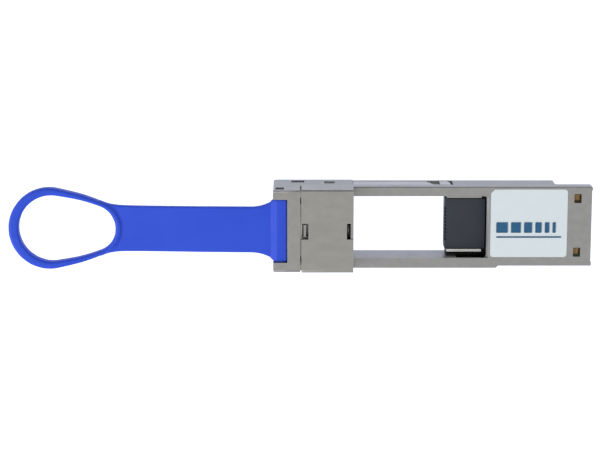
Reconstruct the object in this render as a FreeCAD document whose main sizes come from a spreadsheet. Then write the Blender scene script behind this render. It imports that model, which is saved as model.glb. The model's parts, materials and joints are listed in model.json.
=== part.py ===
"""Adapter module for pluggable optical transceivers.

A narrow die-cast module plugs into a wide host cage with the card edge at its rear, and takes a
small transceiver through the throat of its front head.  A moulded pull tab works a sheet-steel
slider, whose side arms push the cage's latches out.

Frame: +X towards the host plug, -X towards the pull loop, +Z up on the label side, millimetres.
The origin is the bottom centre of the whole part.
"""

import FreeCAD, Part
import math
import os
import re
import Sketcher
from FreeCAD import Placement, Rotation, Vector

# Driving dimensions: alias, value, meaning.  Places ahead and behind count from the stop face.
DIMENSIONS = [
    ("stop_x", 11.8, "rear face of the head, which stops against the cage"),
    ("body_half", 9.175, "half width of the module body"),
    ("body_low", 0.4, "underside of the body"),
    ("body_top", 8.9, "top of the body"),
    ("body_long", 54.2, "stop face to the end of the side skirts"),
    ("body_round", 0.35, "rounding of the body's long edges"),
    ("plate_long", 54.05, "stop face to the end of the top plate"),
    ("plate_low", 7.7, "underside of the top plate"),
    ("skin_low", 8.3, "underside of the thin rail skin beside the connector"),
    ("split_long", 23.0, "stop face to the front of the lower shell"),
    ("split_z", 5.7, "parting line between the housing and the lower shell"),
    ("shell_long", 46.0, "stop face to the end of the lower shell"),
    ("rail_left", 7.0, "middle plane to the left rail's inner wall"),
    ("rail_right", 7.3, "middle plane to the right rail's inner wall"),
    ("window_long", 30.3, "stop face to the rear edge of the top window"),
    ("window_round", 0.7, "corner radius of the top window"),
    ("window_bevel", 0.5, "bevel on the rear edge of the top window"),
    ("under_window_long", 21.4, "stop face to the rear edge of the lower window"),
    ("hollow_long", 23.6, "stop face to the front of the inner hollow"),
    ("hollow_half", 8.275, "half width of the inner hollow"),
    ("rib_proud", 0.43, "height of the keying rib on the right rail"),
    ("rib_long", 33.0, "length of the keying rib"),
    ("rib_low", 6.6, "underside of the keying rib"),
    ("peep_long", 50.87, "stop face to the centre of the inspection holes"),
    ("peep_x", 1.65, "length of an inspection hole"),
    ("peep_y", 2.1, "width of an inspection hole"),
    ("peep_side", 6.2, "centre of the pair to the centre of an inspection hole"),
    ("peep_shift", 0.25, "offset of the pair of inspection holes towards the left side"),
    ("head_long", 18.05, "stop face to the front of the head"),
    ("head_half", 9.3, "half width of the head casting"),
    ("head_round", 0.5, "rounding of the head's edges"),
    ("seam_z", 4.7, "joint between the head casting and the front bezel"),
    ("cheek_long", 11.93, "stop face to the front of the head's cheeks"),
    ("cover_long", 11.69, "stop face to the front of the head cover"),
    ("cover_half", 9.5, "half width of the head cover"),
    ("cover_top", 14.7, "top of the head cover"),
    ("cover_thick", 0.45, "sheet thickness of the head cover"),
    ("flange_low", 8.3, "lower edge of the cover's side flanges"),
    ("core_half", 8.95, "half width of the casting under the cover"),
    ("bezel_rear", 11.96, "stop face to the rear of the front bezel"),
    ("bezel_half", 9.4, "half width of the front bezel"),
    ("bezel_top", 14.5, "top of the front bezel"),
    ("bezel_roof", 14.0, "underside of the bezel's roof behind the notch"),
    ("notch_rear", 14.85, "stop face to the rear of the pull-tab notch"),
    ("notch_half", 7.225, "half width of the pull-tab notch"),
    ("notch_low", 10.5, "floor of the pull-tab notch"),
    ("cavity_half", 7.3, "half width of the cavity for the throat liner"),
    ("cavity_low", 0.45, "floor of the cavity for the throat liner"),
    ("cavity_top", 9.85, "roof of the cavity for the throat liner"),
    ("roof_top", 10.4, "top of the casting's roof over the throat"),
    ("wall_x", 0.6, "thickness of the head's rear wall"),
    ("throat_half", 7.0, "half width inside the throat liner"),
    ("throat_low", 0.75, "floor inside the throat liner"),
    ("throat_top", 9.55, "roof inside the throat liner"),
    ("liner_thick", 0.25, "sheet thickness of the throat liner"),
    ("liner_front", 17.8, "stop face to the front of the throat liner"),
    ("liner_rear", 0.1, "stop face to the rear of the throat liner"),
    ("lug_half", 1.35, "half width of the two cover lugs"),
    ("lug_top", 13.7, "top of the two cover lugs"),
    ("lug_front_a", 11.2, "stop face to the front of the front lug"),
    ("lug_front_b", 10.65, "stop face to the rear of the front lug"),
    ("lug_rear_a", 1.15, "stop face to the front of the rear lug"),
    ("cutout_half", 1.825, "half width of the cover's cut-outs"),
    ("cutout_front", 10.1, "stop face to the end of the front cut-out"),
    ("cutout_rear", 1.5, "stop face to the end of the rear cut-out"),
    ("arm_in", 8.3, "inner face of a slider arm inside the head"),
    ("arm_thick", 0.6, "sheet thickness of the slider"),
    ("arm_low", 1.3, "lower edge of a slider arm"),
    ("arm_top", 6.15, "upper edge of a slider arm"),
    ("arm_joggle", 0.2, "outward step of a slider arm beside the body"),
    ("joggle_room", 2.2, "stop face to the front of the wider stretch of the arm channel"),
    ("head_skin", 0.15, "thickness of the head's skin over that stretch"),
    ("joggle_long", 0.6, "stop face to the step of a slider arm"),
    ("arm_end_low", 16.7, "stop face to the end of the arm's lower edge"),
    ("arm_end_top", 18.8, "stop face to the end of the arm's upper edge"),
    ("neck_thick", 0.3, "thickness of the arm's coined neck"),
    ("tip_long", 19.9, "stop face to the start of the arm's tip"),
    ("tip_end", 22.4, "stop face to the end of the arm's tip"),
    ("tip_out", 9.15, "outer face of the arm's tip"),
    ("tip_hook", 0.25, "inward curl at the end of the arm's tip"),
    ("tip_curl", 0.8, "length of the curl at the end of the arm's tip"),
    ("neck_trim", 0.3, "how much narrower the neck and the tip are than the arm, per edge"),
    ("arm_lap", 0.5, "overlap of the arm's two stretches at the step"),
    ("arm_gap", 0.05, "running clearance round the slider"),
    ("bar_front", 9.5, "stop face to the front of the slider's cross bar"),
    ("bar_rear", 4.5, "stop face to the rear of the slider's cross bar"),
    ("bar_low", 12.1, "underside of the slider's cross bar"),
    ("plate_half", 6.0, "half width of the slider's forward plate"),
    ("tongue_half", 4.5, "half width of the slider's tongue in the tab"),
    ("tongue_front", 17.2, "stop face to the front of the slider's tongue"),
    ("tab_rear", 15.2, "stop face to the rear of the tab's head"),
    ("stop_slot_half", 1.6, "half width of the slider's stop slot"),
    ("stop_slot_front", 11.5, "stop face to the front of the stop slot"),
    ("stop_slot_rear", 7.95, "stop face to the rear of the stop slot"),
    ("foot_front", 10.8, "stop face to the front of the slider's spring foot"),
    ("foot_thick", 0.6, "thickness of the spring foot"),
    ("foot_low", 2.0, "lower edge of the spring foot"),
    ("foot_top", 3.8, "upper edge of the spring foot"),
    ("foot_in", 7.45, "inner edge of the spring foot"),
    ("pocket_front", 17.3, "stop face to the front of the spring pocket"),
    ("pocket_out", 9.0, "outer wall of the spring pocket"),
    ("pocket_low", 1.75, "floor of the spring pocket"),
    ("pocket_top", 4.05, "roof of the spring pocket"),
    ("slot_front", 14.0, "stop face to the front of the spring slot"),
    ("slot_rear", 11.0, "stop face to the rear of the spring slot"),
    ("side_slot_front", 6.5, "stop face to the front of the side slot"),
    ("side_slot_rear", 4.1, "stop face to the rear of the side slot"),
    ("side_slot_low", 2.75, "floor of the side slot"),
    ("side_slot_top", 5.2, "roof of the side slot"),
    ("side_window_front", 17.5, "stop face to the front of the bezel's side window"),
    ("side_window_rear", 15.6, "stop face to the rear of the bezel's side window"),
    ("side_window_low", 11.0, "floor of the bezel's side window"),
    ("side_window_top", 13.5, "roof of the bezel's side window"),
    ("spring_turns", 8, "turns of a return spring"),
    ("spring_wire", 0.26, "wire diameter of a return spring"),
    ("spring_mean", 1.3, "mean coil diameter of a return spring"),
    ("spring_y", 8.15, "centre line to the axis of a return spring"),
    ("spring_z", 2.9, "height of the axis of a return spring"),
    ("floor_slot_half", 2.7, "half width of the floor slot under the latch tongue"),
    ("floor_slot_rear", 5.0, "stop face to the rear of the floor slot"),
    ("leaf_half", 2.2, "half width of the latch tongue"),
    ("leaf_front", 17.6, "stop face to the free end of the latch tongue"),
    ("leaf_rear", 6.0, "stop face to the root of the latch tongue"),
    ("leaf_gap", 0.15, "clearance round the latch tongue"),
    ("catch_front", 15.4, "stop face to the point of the catch hole"),
    ("catch_rear", 13.0, "stop face to the base of the catch hole"),
    ("catch_half", 1.3, "half width of the catch hole's base"),
    ("finger_reach", 0.22, "how far a shielding finger stands into the throat"),
    ("finger_long", 4.6, "length of a shielding finger"),
    ("finger_crest", 2.85, "root of a shielding finger to its crest"),
    ("finger_wide", 1.5, "width of a shielding finger"),
    ("finger_pitch", 1.9, "spacing of the shielding fingers above and below"),
    ("finger_pitch_side", 2.4, "spacing of the shielding fingers at the sides"),
    ("finger_thick", 0.08, "sheet thickness of the shielding fingers"),
    ("strap_half", 5.1, "half width of the pull tab's strap"),
    ("strap_thick", 1.6, "thickness of the strap"),
    ("strap_top", 13.1, "top of the strap where it meets the head"),
    ("tab_half", 6.95, "half width of the tab's head"),
    ("tab_low", 11.1, "underside of the tab's head"),
    ("tab_top", 13.9, "top of the tab's head"),
    ("ridge_rear", 17.6, "stop face to the rear of the tab's ridge slope"),
    ("ridge_front", 18.5, "stop face to the front of the tab's ridge slope"),
    ("flare_front", 22.4, "stop face to where the strap starts to flare"),
    ("flare_knee", 1.0, "length of the steep end of the strap's flare"),
    ("flare_step", 0.6, "width gained over the steep end of the flare"),
    ("bend_long", 35.0, "stop face to the strap's bending line"),
    ("bend_top", 12.5, "top of the strap at the bending line"),
    ("bend_gap", 0.15, "gap between the strap's two stretches"),
    ("ring_low", 8.9, "underside of the finger loop"),
    ("ring_top", 11.9, "top of the finger loop"),
    ("ring_far", 68.5, "stop face to the centre of the loop's far arc"),
    ("ring_far_r", 9.3, "outer radius of the loop's far arc"),
    ("ring_near", 58.6, "stop face to the centre of the loop's near arc"),
    ("ring_near_r", 6.4, "outer radius of the loop's near arc"),
    ("ring_flat", 4.0, "level length of the strap at the loop"),
    ("hole_far", 68.05, "stop face to the centre of the hole's far arc"),
    ("hole_far_r", 7.85, "radius of the hole's far arc"),
    ("hole_near_r", 5.0, "radius of the hole's near arc"),
    ("floor_thin", 0.32, "floor of the lower shell under the connector"),
    ("floor_thick", 0.9, "floor of the lower shell under the card"),
    ("floor_step", 31.2, "stop face to where the floor thickens"),
    ("ledge_in", 5.9, "inner edge of the ledges beside the connector"),
    ("ledge_top", 3.8, "top of the ledges beside the connector"),
    ("guide_in", 5.95, "inner face of the guide ribs beside the connector"),
    ("guide_out", 6.55, "outer face of the guide ribs beside the connector"),
    ("guide_top", 5.45, "top of the guide ribs beside the connector"),
    ("guide_front", 21.5, "stop face to the front of the guide ribs"),
    ("guide_rear", 29.4, "stop face to the rear of the guide ribs"),
    ("trench_rear", 31.2, "stop face to the rear of the trench beside the guide ribs"),
    ("card_low", 3.3, "underside of the paddle card"),
    ("card_thick", 1.0, "thickness of the paddle card"),
    ("card_front", 29.6, "stop face to the front edge of the card"),
    ("card_rear", 53.0, "stop face to the plug edge of the card"),
    ("card_half", 6.1, "half width of the card between the screw posts"),
    ("card_wide_from", 45.2, "stop face to where the card widens"),
    ("card_plug_half", 8.2, "half width of the card's plug edge"),
    ("card_bevel", 0.3, "lead-in bevel of the card's plug edge"),
    ("screw_front", 33.2, "stop face to the front screws"),
    ("screw_rear", 43.4, "stop face to the rear screws"),
    ("screw_side", 7.25, "centre line to a screw"),
    ("screw_r", 0.6, "radius of a screw's thread"),
    ("screw_head_r", 1.0, "radius of a screw's head"),
    ("screw_head_high", 0.45, "height of a screw's countersunk head"),
    ("screw_high", 6.0, "length of a screw"),
    ("screw_gap", 0.03, "clearance round a screw"),
    ("cross_half", 0.6, "half length of the slots in a screw's head"),
    ("cross_thin", 0.1, "half width of the slots in a screw's head"),
    ("cross_deep", 0.25, "depth of the slots in a screw's head"),
    ("post_r", 0.98, "radius of a screw post"),
    ("dowel_r", 0.35, "radius of a bezel dowel"),
    ("dowel_long", 3.6, "length of a bezel dowel"),
    ("dowel_side", 7.8, "centre line to a bezel dowel"),
    ("dowel_z", 6.6, "height of a bezel dowel"),
    ("gasket_wide", 0.4, "width of a seam gasket"),
    ("gasket_high", 0.3, "height of a seam gasket"),
    ("gasket_side", 8.7, "centre line to a seam gasket"),
    ("gasket_front", 24.5, "stop face to the front of a seam gasket"),
    ("gasket_rear", 45.0, "stop face to the rear of a seam gasket"),
    ("clip_long", 1.9, "length of a grounding clip"),
    ("clip_wide", 1.3, "width of a grounding clip"),
    ("clip_thick", 0.12, "sheet thickness of a grounding clip"),
    ("clip_foot", 1.1, "length of a grounding clip's foot on the card"),
    ("clip_crown", 0.2, "offset of a grounding clip's crown from its middle"),
    ("label_front", 31.2, "stop face to the front edge of the label"),
    ("label_rear", 48.55, "stop face to the rear edge of the label"),
    ("label_half", 7.8, "half width of the label"),
    ("label_shift", 0.75, "offset of the label towards the left side"),
    ("label_thick", 0.1, "thickness of the label"),
    ("label_cut", 0.9, "cut corner of the label"),
    ("label_round", 0.7, "corner radius of the label"),
    ("port_front", 21.0, "stop face to the front of the port connector"),
    ("port_rear", 30.25, "stop face to the rear of the port connector"),
    ("port_half", 5.82, "half width of the port connector"),
    ("port_low", 0.75, "underside of the port connector"),
    ("port_top", 5.5, "top of the port connector"),
    ("hood_long", 1.2, "length of the hood over the contacts' tails"),
    ("hood_drop", 0.55, "top of the connector to the top of its hood"),
    ("port_slot_z", 3.15, "height of the port's card slot"),
    ("port_slot_half_z", 0.6, "half height of the port's card slot"),
    ("port_slot_half", 4.7, "half width of the port's card slot"),
    ("port_slot_rear", 28.2, "stop face to the bottom of the card slot"),
    ("port_comb", 0.4, "depth of the comb at the connector's front edge"),
    ("comb_lip", 0.4, "card slot's roof to the bottom of the comb"),
    ("cell_lip", 0.3, "connector's front to the front of a contact's cell"),
    ("cell_deep", 0.95, "depth of a contact's cell beside the card slot"),
    ("straddle_gap", 0.3, "clearance between the connector and the card it straddles"),
    ("tail_room", 0.4, "room for a contact's tail over the card"),
    ("tail_room_low", 1.6, "room for a contact's tail under the card"),
    ("port_pitch", 0.8, "spacing of the port contacts"),
    ("port_cell", 0.44, "width of a contact's cell"),
    ("port_pin", 0.34, "width of a port contact"),
    ("port_count", 10, "contacts in one row of the port connector"),
    ("pin_thick", 0.14, "sheet thickness of a port contact"),
    ("pin_free", 1.2, "connector's front to the free end of a contact"),
    ("pin_crest", 2.6, "connector's front to the crest of a contact"),
    ("pin_touch", 0.52, "card slot's middle to a contact's crest"),
    ("pin_open", 0.96, "card slot's middle to a contact's free end"),
    ("pin_root", 1.25, "card slot's middle to a contact's root"),
    ("tail_long", 0.9, "length of a contact's tail behind the connector"),
    ("tail_solder", 0.02, "solder under a contact's tail"),
    ("pad_pitch", 0.8, "spacing of the host pads"),
    ("pad_wide", 0.54, "width of a host pad"),
    ("pad_thick", 0.05, "thickness of a host pad"),
    ("pad_front", 50.8, "stop face to the front of the short host pads"),
    ("pad_front_long", 50.3, "stop face to the front of the long host pads"),
    ("pad_rear", 52.6, "stop face to the rear of the host pads"),
    ("chip_at", 36.6, "stop face to the middle of the controller chip"),
    ("chip_long", 4.0, "length of the controller chip"),
    ("chip_wide", 4.0, "width of the controller chip"),
    ("chip_high", 0.85, "height of the controller chip"),
    ("memory_at", 42.2, "stop face to the middle of the memory chip"),
    ("memory_side", 2.6, "centre line to the middle of the memory chip"),
    ("memory_long", 3.0, "length of the memory chip"),
    ("memory_wide", 4.4, "width of the memory chip"),
    ("memory_high", 0.9, "height of the memory chip"),
    ("lead_at", 41.225, "stop face to the first leads of the memory chip"),
    ("lead_side", 2.5, "middle of the memory chip to the middle of a lead"),
    ("lead_pitch", 0.65, "spacing of the memory chip's leads"),
    ("lead_long", 0.24, "length of a lead along the card"),
    ("lead_wide", 0.6, "width of a lead across the card"),
    ("lead_high", 0.3, "height of a lead"),
    ("coil_at", 39.8, "stop face to the middle of the first inductor"),
    ("coil_side", -3.6, "centre line to the inductors"),
    ("coil_pitch", 2.6, "spacing of the inductors"),
    ("coil_long", 2.0, "length of an inductor"),
    ("coil_wide", 2.5, "width of an inductor"),
    ("coil_high", 1.3, "height of an inductor"),
    ("capacitor_at", 33.4, "stop face to the first capacitor on top"),
    ("capacitor_side", 4.9, "centre line to the capacitors on top"),
    ("capacitor_pitch", 1.7, "spacing of the capacitors on top"),
    ("capacitor_long", 1.0, "length of a capacitor on top"),
    ("capacitor_wide", 0.6, "width of a capacitor on top"),
    ("capacitor_high", 0.5, "height of a capacitor on top"),
    ("capacitor_under_at", 46.9, "stop face to the capacitors under the card"),
    ("capacitor_under_side", -3.6, "centre line to the first capacitor under the card"),
    ("capacitor_under_long", 0.6, "length of a capacitor under the card"),
    ("capacitor_under_wide", 1.0, "width of a capacitor under the card"),
    ("capacitor_under_high", 0.5, "height of a capacitor under the card"),
    ("resistor_at", 33.4, "stop face to the first resistor on top"),
    ("resistor_side", -5.2, "centre line to the resistors on top"),
    ("resistor_pitch", 1.5, "spacing of the resistors on top"),
    ("resistor_long", 0.9, "length of a resistor on top"),
    ("resistor_wide", 0.5, "width of a resistor on top"),
    ("resistor_high", 0.32, "height of a resistor on top"),
    ("resistor_under_at", 48.2, "stop face to the resistors under the card"),
    ("resistor_under_side", -2.7, "centre line to the first resistor under the card"),
    ("resistor_under_long", 0.5, "length of a resistor under the card"),
    ("resistor_under_wide", 0.9, "width of a resistor under the card"),
    ("resistor_under_high", 0.32, "height of a resistor under the card"),
    ("under_pitch", 1.8, "spacing of the parts under the card"),
    ("overrun", 1.0, "how far a cutting tool or a root runs past the face it crosses"),
]

doc = FreeCAD.newDocument("TransceiverAdapter")
sheet = doc.addObject("Spreadsheet::Sheet", "Dims")
for row, (alias, value, meaning) in enumerate(DIMENSIONS, start=1):
    sheet.set(f"A{row}", meaning)
    sheet.set(f"B{row}", str(value))
    sheet.setAlias(f"B{row}", alias)
doc.recompute()

ALIASES = {alias for alias, value, meaning in DIMENSIONS}
PADS_PER_SIDE = 19
LONG_PADS = (0, 3, 6, 12, 15, 18)
LEADS_PER_SIDE = 4
INDUCTORS = 2
CAPACITORS = 3
CAPACITORS_UNDER = 5
RESISTORS = 4
sub_parts = []


def value_of(alias):
    """The number that the sheet holds for an alias."""
    return float(sheet.get(alias))


def bind(thing, name, expression):
    """Bind a property to an expression written with bare aliases."""
    words = re.sub(
        r"[a-z][a-z_]*",
        lambda m: f"Dims.{m.group(0)}" if m.group(0) in ALIASES else m.group(0),
        str(expression),
    )
    thing.setExpression(name, words)


def ahead(distance):
    """The place that far in front of the stop face."""
    return f"stop_x - ({distance})"


def behind(distance):
    """The place that far behind the stop face."""
    return f"stop_x + ({distance})"


def both(half):
    """A span centred on the middle plane."""
    return (f"-({half})", half)


def on_side(sign, low, high):
    """A span on the left side (1) or the right side (-1)."""
    return (low, high) if sign > 0 else (f"-({high})", f"-({low})")


def box(name, x, y, z):
    """A block between two places along each axis."""
    block = doc.addObject("Part::Box", name)
    for (low, high), size, axis in zip((x, y, z), ("Length", "Width", "Height"), "xyz"):
        bind(block, size, f"({high}) - ({low})")
        bind(block, f"Placement.Base.{axis}", low)
    return block


def rod(name, radius, x, y, z, length, along="z"):
    """A round bar from a point, along +Z or +X."""
    bar = doc.addObject("Part::Cylinder", name)
    if along == "x":
        bar.Placement = Placement(Vector(), Rotation(Vector(0, 1, 0), 90))
    bind(bar, "Radius", radius)
    bind(bar, "Height", length)
    for axis, place in zip("xyz", (x, y, z)):
        bind(bar, f"Placement.Base.{axis}", place)
    return bar


def cross_rod(name, radius, x, z, half):
    """A round bar across the middle plane, along Y."""
    bar = doc.addObject("Part::Cylinder", name)
    bar.Placement = Placement(Vector(), Rotation(Vector(1, 0, 0), -90))
    bind(bar, "Radius", radius)
    bind(bar, "Height", f"({half}) * 2")
    for axis, place in zip("xyz", (x, f"-({half})", z)):
        bind(bar, f"Placement.Base.{axis}", place)
    return bar


def new_body(name, plane):
    """A PartDesign body with a sketch on one of its own origin planes."""
    body = doc.addObject("PartDesign::Body", name)
    sketch = body.newObject("Sketcher::SketchObject", f"{name}Sketch")
    role = f"{plane}_Plane"
    flat = [f for f in body.Origin.OriginFeatures if f.Role == role][0]
    sketch.AttachmentSupport = [(flat, "")]
    sketch.MapMode = "FlatFace"
    return body, sketch


def pad_between(body, sketch, plane, low, high):
    """Pad the sketch both ways and set the body midway between the two places."""
    pad = body.newObject("PartDesign::Pad", f"{body.Name}Pad")
    pad.Profile = sketch
    pad.Midplane = True
    bind(pad, "Length", f"({high}) - ({low})")
    axis = {"XY": "z", "XZ": "y", "YZ": "x"}[plane]
    bind(body, f"Placement.Base.{axis}", f"(({low}) + ({high})) / 2")
    return pad


def constrain(sketch, kind, *where, to=None):
    """Add a constraint, and bind its size when it has one."""
    index = sketch.addConstraint(Sketcher.Constraint(kind, *where))
    if to is not None:
        bind(sketch, f"Constraints[{index}]", to)


def evaluate(expression):
    """The number that an expression of aliases comes to."""
    words = re.sub(
        r"[a-z][a-z_]*",
        lambda m: str(value_of(m.group(0))) if m.group(0) in ALIASES else m.group(0),
        str(expression),
    )
    return float(FreeCAD.Units.Quantity(words).Value)


def prism(name, plane, points, low, high):
    """A body whose outline has a corner at each pair of expressions."""
    body, sketch = new_body(name, plane)
    corners = [Vector(evaluate(a), evaluate(b), 0) for a, b in points]
    count = len(corners)
    for i in range(count):
        sketch.addGeometry(Part.LineSegment(corners[i], corners[(i + 1) % count]))
    for i, (a, b) in enumerate(points):
        constrain(sketch, "Coincident", i, 2, (i + 1) % count, 1)
        constrain(sketch, "DistanceX", i, 1, corners[i].x, to=a)
        constrain(sketch, "DistanceY", i, 1, corners[i].y, to=b)
    pad_between(body, sketch, plane, low, high)
    return body


def teardrop(name, far_x, far_r, near_x, near_r, low, high):
    """A body whose outline is two arcs on the X axis joined by tangent lines."""
    body, sketch = new_body(name, "XY")
    x1, r1, x2, r2 = (evaluate(e) for e in (far_x, far_r, near_x, near_r))
    turn = math.acos((r2 - r1) / (x1 - x2))
    arcs = [(x1, r1, turn, 2 * math.pi - turn), (x2, r2, -turn, turn)]
    for x, r, start, end in arcs:
        circle = Part.Circle(Vector(x, 0, 0), Vector(0, 0, 1), r)
        sketch.addGeometry(Part.ArcOfCircle(circle, start, end))
    ends = [[Vector(x + r * math.cos(a), r * math.sin(a), 0) for x, r in ((x1, r1), (x2, r2))]
            for a in (turn, -turn)]
    for a, b in ends:
        sketch.addGeometry(Part.LineSegment(a, b))
    for line, far_end, near_end in ((2, 1, 2), (3, 2, 1)):
        constrain(sketch, "Tangent", line, 1, 0, far_end)
        constrain(sketch, "Tangent", line, 2, 1, near_end)
    for arc, x, r in ((0, far_x, far_r), (1, near_x, near_r)):
        constrain(sketch, "PointOnObject", arc, 3, -1)
        constrain(sketch, "DistanceX", arc, 3, evaluate(x), to=x)
        constrain(sketch, "Radius", arc, evaluate(r), to=r)
    pad_between(body, sketch, "XY", low, high)
    return body


def fuse(name, shapes):
    """One solid from several."""
    joined = doc.addObject("Part::MultiFuse", name)
    joined.Shapes = shapes
    joined.Refine = True
    return joined


def cut(name, base, tools):
    """The base with every tool taken away."""
    tool = tools[0] if len(tools) == 1 else fuse(f"{name}Tools", tools)
    result = doc.addObject("Part::Cut", name)
    result.Base = base
    result.Tool = tool
    result.Refine = True
    return result


def common(name, base, tool):
    """What two solids share."""
    result = doc.addObject("Part::Common", name)
    result.Base = base
    result.Tool = tool
    result.Refine = True
    return result


def group(name, shapes):
    """Separate solids kept as one sub-part."""
    together = doc.addObject("Part::Compound", name)
    together.Links = shapes
    return together


def rounded(name, base, radius, wanted):
    """Fillet the straight edges that a test on their middle and direction picks."""
    doc.recompute()
    size = value_of(radius)
    picked = []
    for number, edge in enumerate(base.Shape.Edges, start=1):
        middle = edge.CenterOfMass
        along = edge.Vertexes[-1].Point - edge.Vertexes[0].Point
        if wanted(middle, along.normalize()):
            picked.append((number, size, size))
    fillet = doc.addObject("Part::Fillet", name)
    fillet.Base = base
    fillet.Edges = picked
    return fillet


def is_along(direction, axis):
    """Whether a unit vector lies along an axis, either way."""
    return abs(getattr(direction, axis)) > 0.99


def sub_part(node, thing):
    """Name a finished sub-part, which is written to a file of that name."""
    thing.Label = node
    sub_parts.append(thing)
    return thing


def rounded_body_bar(name):
    """The body's outer form, with its long edges and rear corners rounded."""
    bar = box(f"{name}Block", ("stop_x", behind("body_long")), both("body_half"),
              ("body_low", "body_top"))
    end = evaluate(behind("body_long"))
    return rounded(name, bar, "body_round",
                   lambda at, along: is_along(along, "x")
                   or (is_along(along, "z") and abs(at.x - end) < 0.01))


def screw_places():
    """The four screws: side and distance behind the stop face."""
    return [(sign, row) for row in ("screw_front", "screw_rear") for sign in (1, -1)]


def side_y(sign, distance):
    """A distance from the middle plane as an expression, on either side."""
    return distance if sign > 0 else f"-({distance})"


def make_housing():
    """The main die-casting: head, rails and the top plate that carries the label."""
    sill = box("HeadSill", (ahead("head_long"), "stop_x"), both("head_half"), ("0", "seam_z"))
    front = evaluate(ahead("head_long"))
    sill = rounded("HeadSillRound", sill, "head_round",
                   lambda at, along: (is_along(along, "z") and abs(at.x - front) < 0.01)
                   or (is_along(along, "x") and at.z < 0.01))
    cheeks = box("HeadCheeks", (ahead("cheek_long"), "stop_x"), both("head_half"),
                 ("seam_z", "flange_low"))
    core = box("HeadCore", (ahead("cover_long"), "stop_x"), both("core_half"),
               ("flange_low", "cover_top - cover_thick"))
    rib = prism("KeyingRib", "XY",
                [("stop_x", "-body_half + overrun"), ("stop_x", "-body_half - rib_proud"),
                 (behind("rib_long - 0.5"), "-body_half - rib_proud"),
                 (behind("rib_long"), "-body_half"), (behind("rib_long"), "-body_half + overrun")],
                "rib_low", "body_top")
    under = box("LowerShellRoom", (behind("split_long"), behind("body_long + overrun")),
                both("body_half + overrun"), ("body_low - overrun", "split_z"))
    bars = cut("BodyBars", rounded_body_bar("BodyBar"), [under])
    rough = fuse("HousingRough", [sill, cheeks, core, rib, bars])
    hollowed = cut("HousingHollow", rough, housing_openings())
    finished = fuse("HousingSolid", [hollowed] + housing_additions())
    pilots = [rod(f"Pilot{i}", "screw_r + screw_gap", behind(row), side_y(sign, "screw_side"),
                  "body_low", "screw_high + 0.1")
              for i, (sign, row) in enumerate(screw_places())]
    return sub_part("main_housing", cut("Housing", finished, pilots))


def housing_openings():
    """Everything that is taken out of the main casting."""
    through = ("-1", "cover_top + overrun")
    across = ("-rail_right", "rail_left")
    window = box("TopWindow", ("stop_x", behind("window_long")), across, through)
    rear = evaluate(behind("window_long"))
    window = rounded("TopWindowRound", window, "window_round",
                     lambda at, along: is_along(along, "z") and abs(at.x - rear) < 0.01)
    edge = behind("window_long")
    bevel = prism("WindowBevel", "XZ",
                  [(f"{edge} - 0.2", "body_top - window_bevel"), (edge, "body_top - window_bevel"),
                   (f"{edge} + window_bevel", "body_top"),
                   (f"{edge} + window_bevel", "body_top + 0.2"), (f"{edge} - 0.2", "body_top + 0.2")],
                  *across)
    tools = [
        window, bevel,
        box("LinerRoom", (ahead("liner_front + 0.05"), "stop_x + 0.1"), both("cavity_half"),
            ("cavity_low", "cavity_top")),
        box("Mouth", (ahead("head_long + overrun"), ahead("liner_front")), both("throat_half + 0.05"),
            ("throat_low - 0.05", "cavity_top")),
        box("SliderRoom", (ahead("cover_long + overrun"), ahead("wall_x")), both("core_half + overrun"),
            ("roof_top", "cover_top")),
        box("RailHollow", (behind("hollow_long"), behind("window_long + overrun")),
            both("hollow_half"), ("split_z - overrun", "skin_low")),
        box("PlateHollow", (behind("window_long + 0.8"), behind("body_long + overrun")),
            both("hollow_half"), ("split_z - overrun", "plate_low")),
        box("PlateEnd", (behind("plate_long"), behind("body_long + overrun")), both("hollow_half"),
            ("split_z - overrun", "body_top + overrun")),
        box("FloorSlot", (ahead("head_long + overrun"), ahead("floor_slot_rear")),
            both("floor_slot_half"), ("-1", "cavity_low + 0.1")),
    ]
    for sign in (1, -1):
        tools += side_openings(sign)
    return tools


def side_openings(sign):
    """The slider channel, spring pocket and slots of one side of the main casting."""
    side = "Left" if sign > 0 else "Right"
    channel = on_side(sign, "arm_in - arm_gap", "core_half")
    skin = on_side(sign, "pocket_out - 0.3", "body_half + 2")
    groove = on_side(sign, "arm_in - arm_gap", "body_half + 2")
    peep_middle = behind("peep_long")
    return [
        box(f"ArmChannel{side}", (ahead("cover_long + overrun"), ahead("-0.1")), channel,
            ("flange_low - 0.1", "cover_top")),
        box(f"ArmShaft{side}", (ahead("cheek_long - 0.1"), ahead("bar_rear - arm_gap")), channel,
            ("foot_low - arm_gap", "flange_low")),
        box(f"ArmGroove{side}", (ahead("cheek_long - 0.1"), ahead("-0.1")), channel,
            ("arm_low - arm_gap", "arm_top + arm_gap")),
        box(f"ArmThroat{side}", (ahead("joggle_room"), ahead("-0.1")),
            on_side(sign, "arm_in - arm_gap", "head_half - head_skin"),
            ("arm_low - arm_gap", "arm_top + arm_gap")),
        box(f"BodyGroove{side}", ("stop_x", behind("tip_end + 0.4")), groove,
            ("arm_low - arm_gap", "arm_top + arm_gap")),
        box(f"SpringPocket{side}", (ahead("pocket_front"), ahead("bar_front - 0.5")),
            on_side(sign, "cavity_half - 0.1", "pocket_out"), ("pocket_low", "pocket_top")),
        box(f"SpringSlot{side}", (ahead("slot_front"), ahead("slot_rear")), skin,
            ("pocket_low", "pocket_top")),
        box(f"SideSlot{side}", (ahead("side_slot_front"), ahead("side_slot_rear")), skin,
            ("side_slot_low", "side_slot_top")),
        box(f"InspectionHole{side}", (f"{peep_middle} - peep_x / 2", f"{peep_middle} + peep_x / 2"),
            peep_span(sign, "peep_y"), ("plate_low - overrun", "body_top + overrun")),
        rod(f"DowelHole{side}", "dowel_r", ahead("bezel_rear"), side_y(sign, "dowel_side"),
            "dowel_z", "dowel_long / 2", along="x"),
        gasket_bar(f"GasketGroove{side}", sign),
    ]


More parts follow.
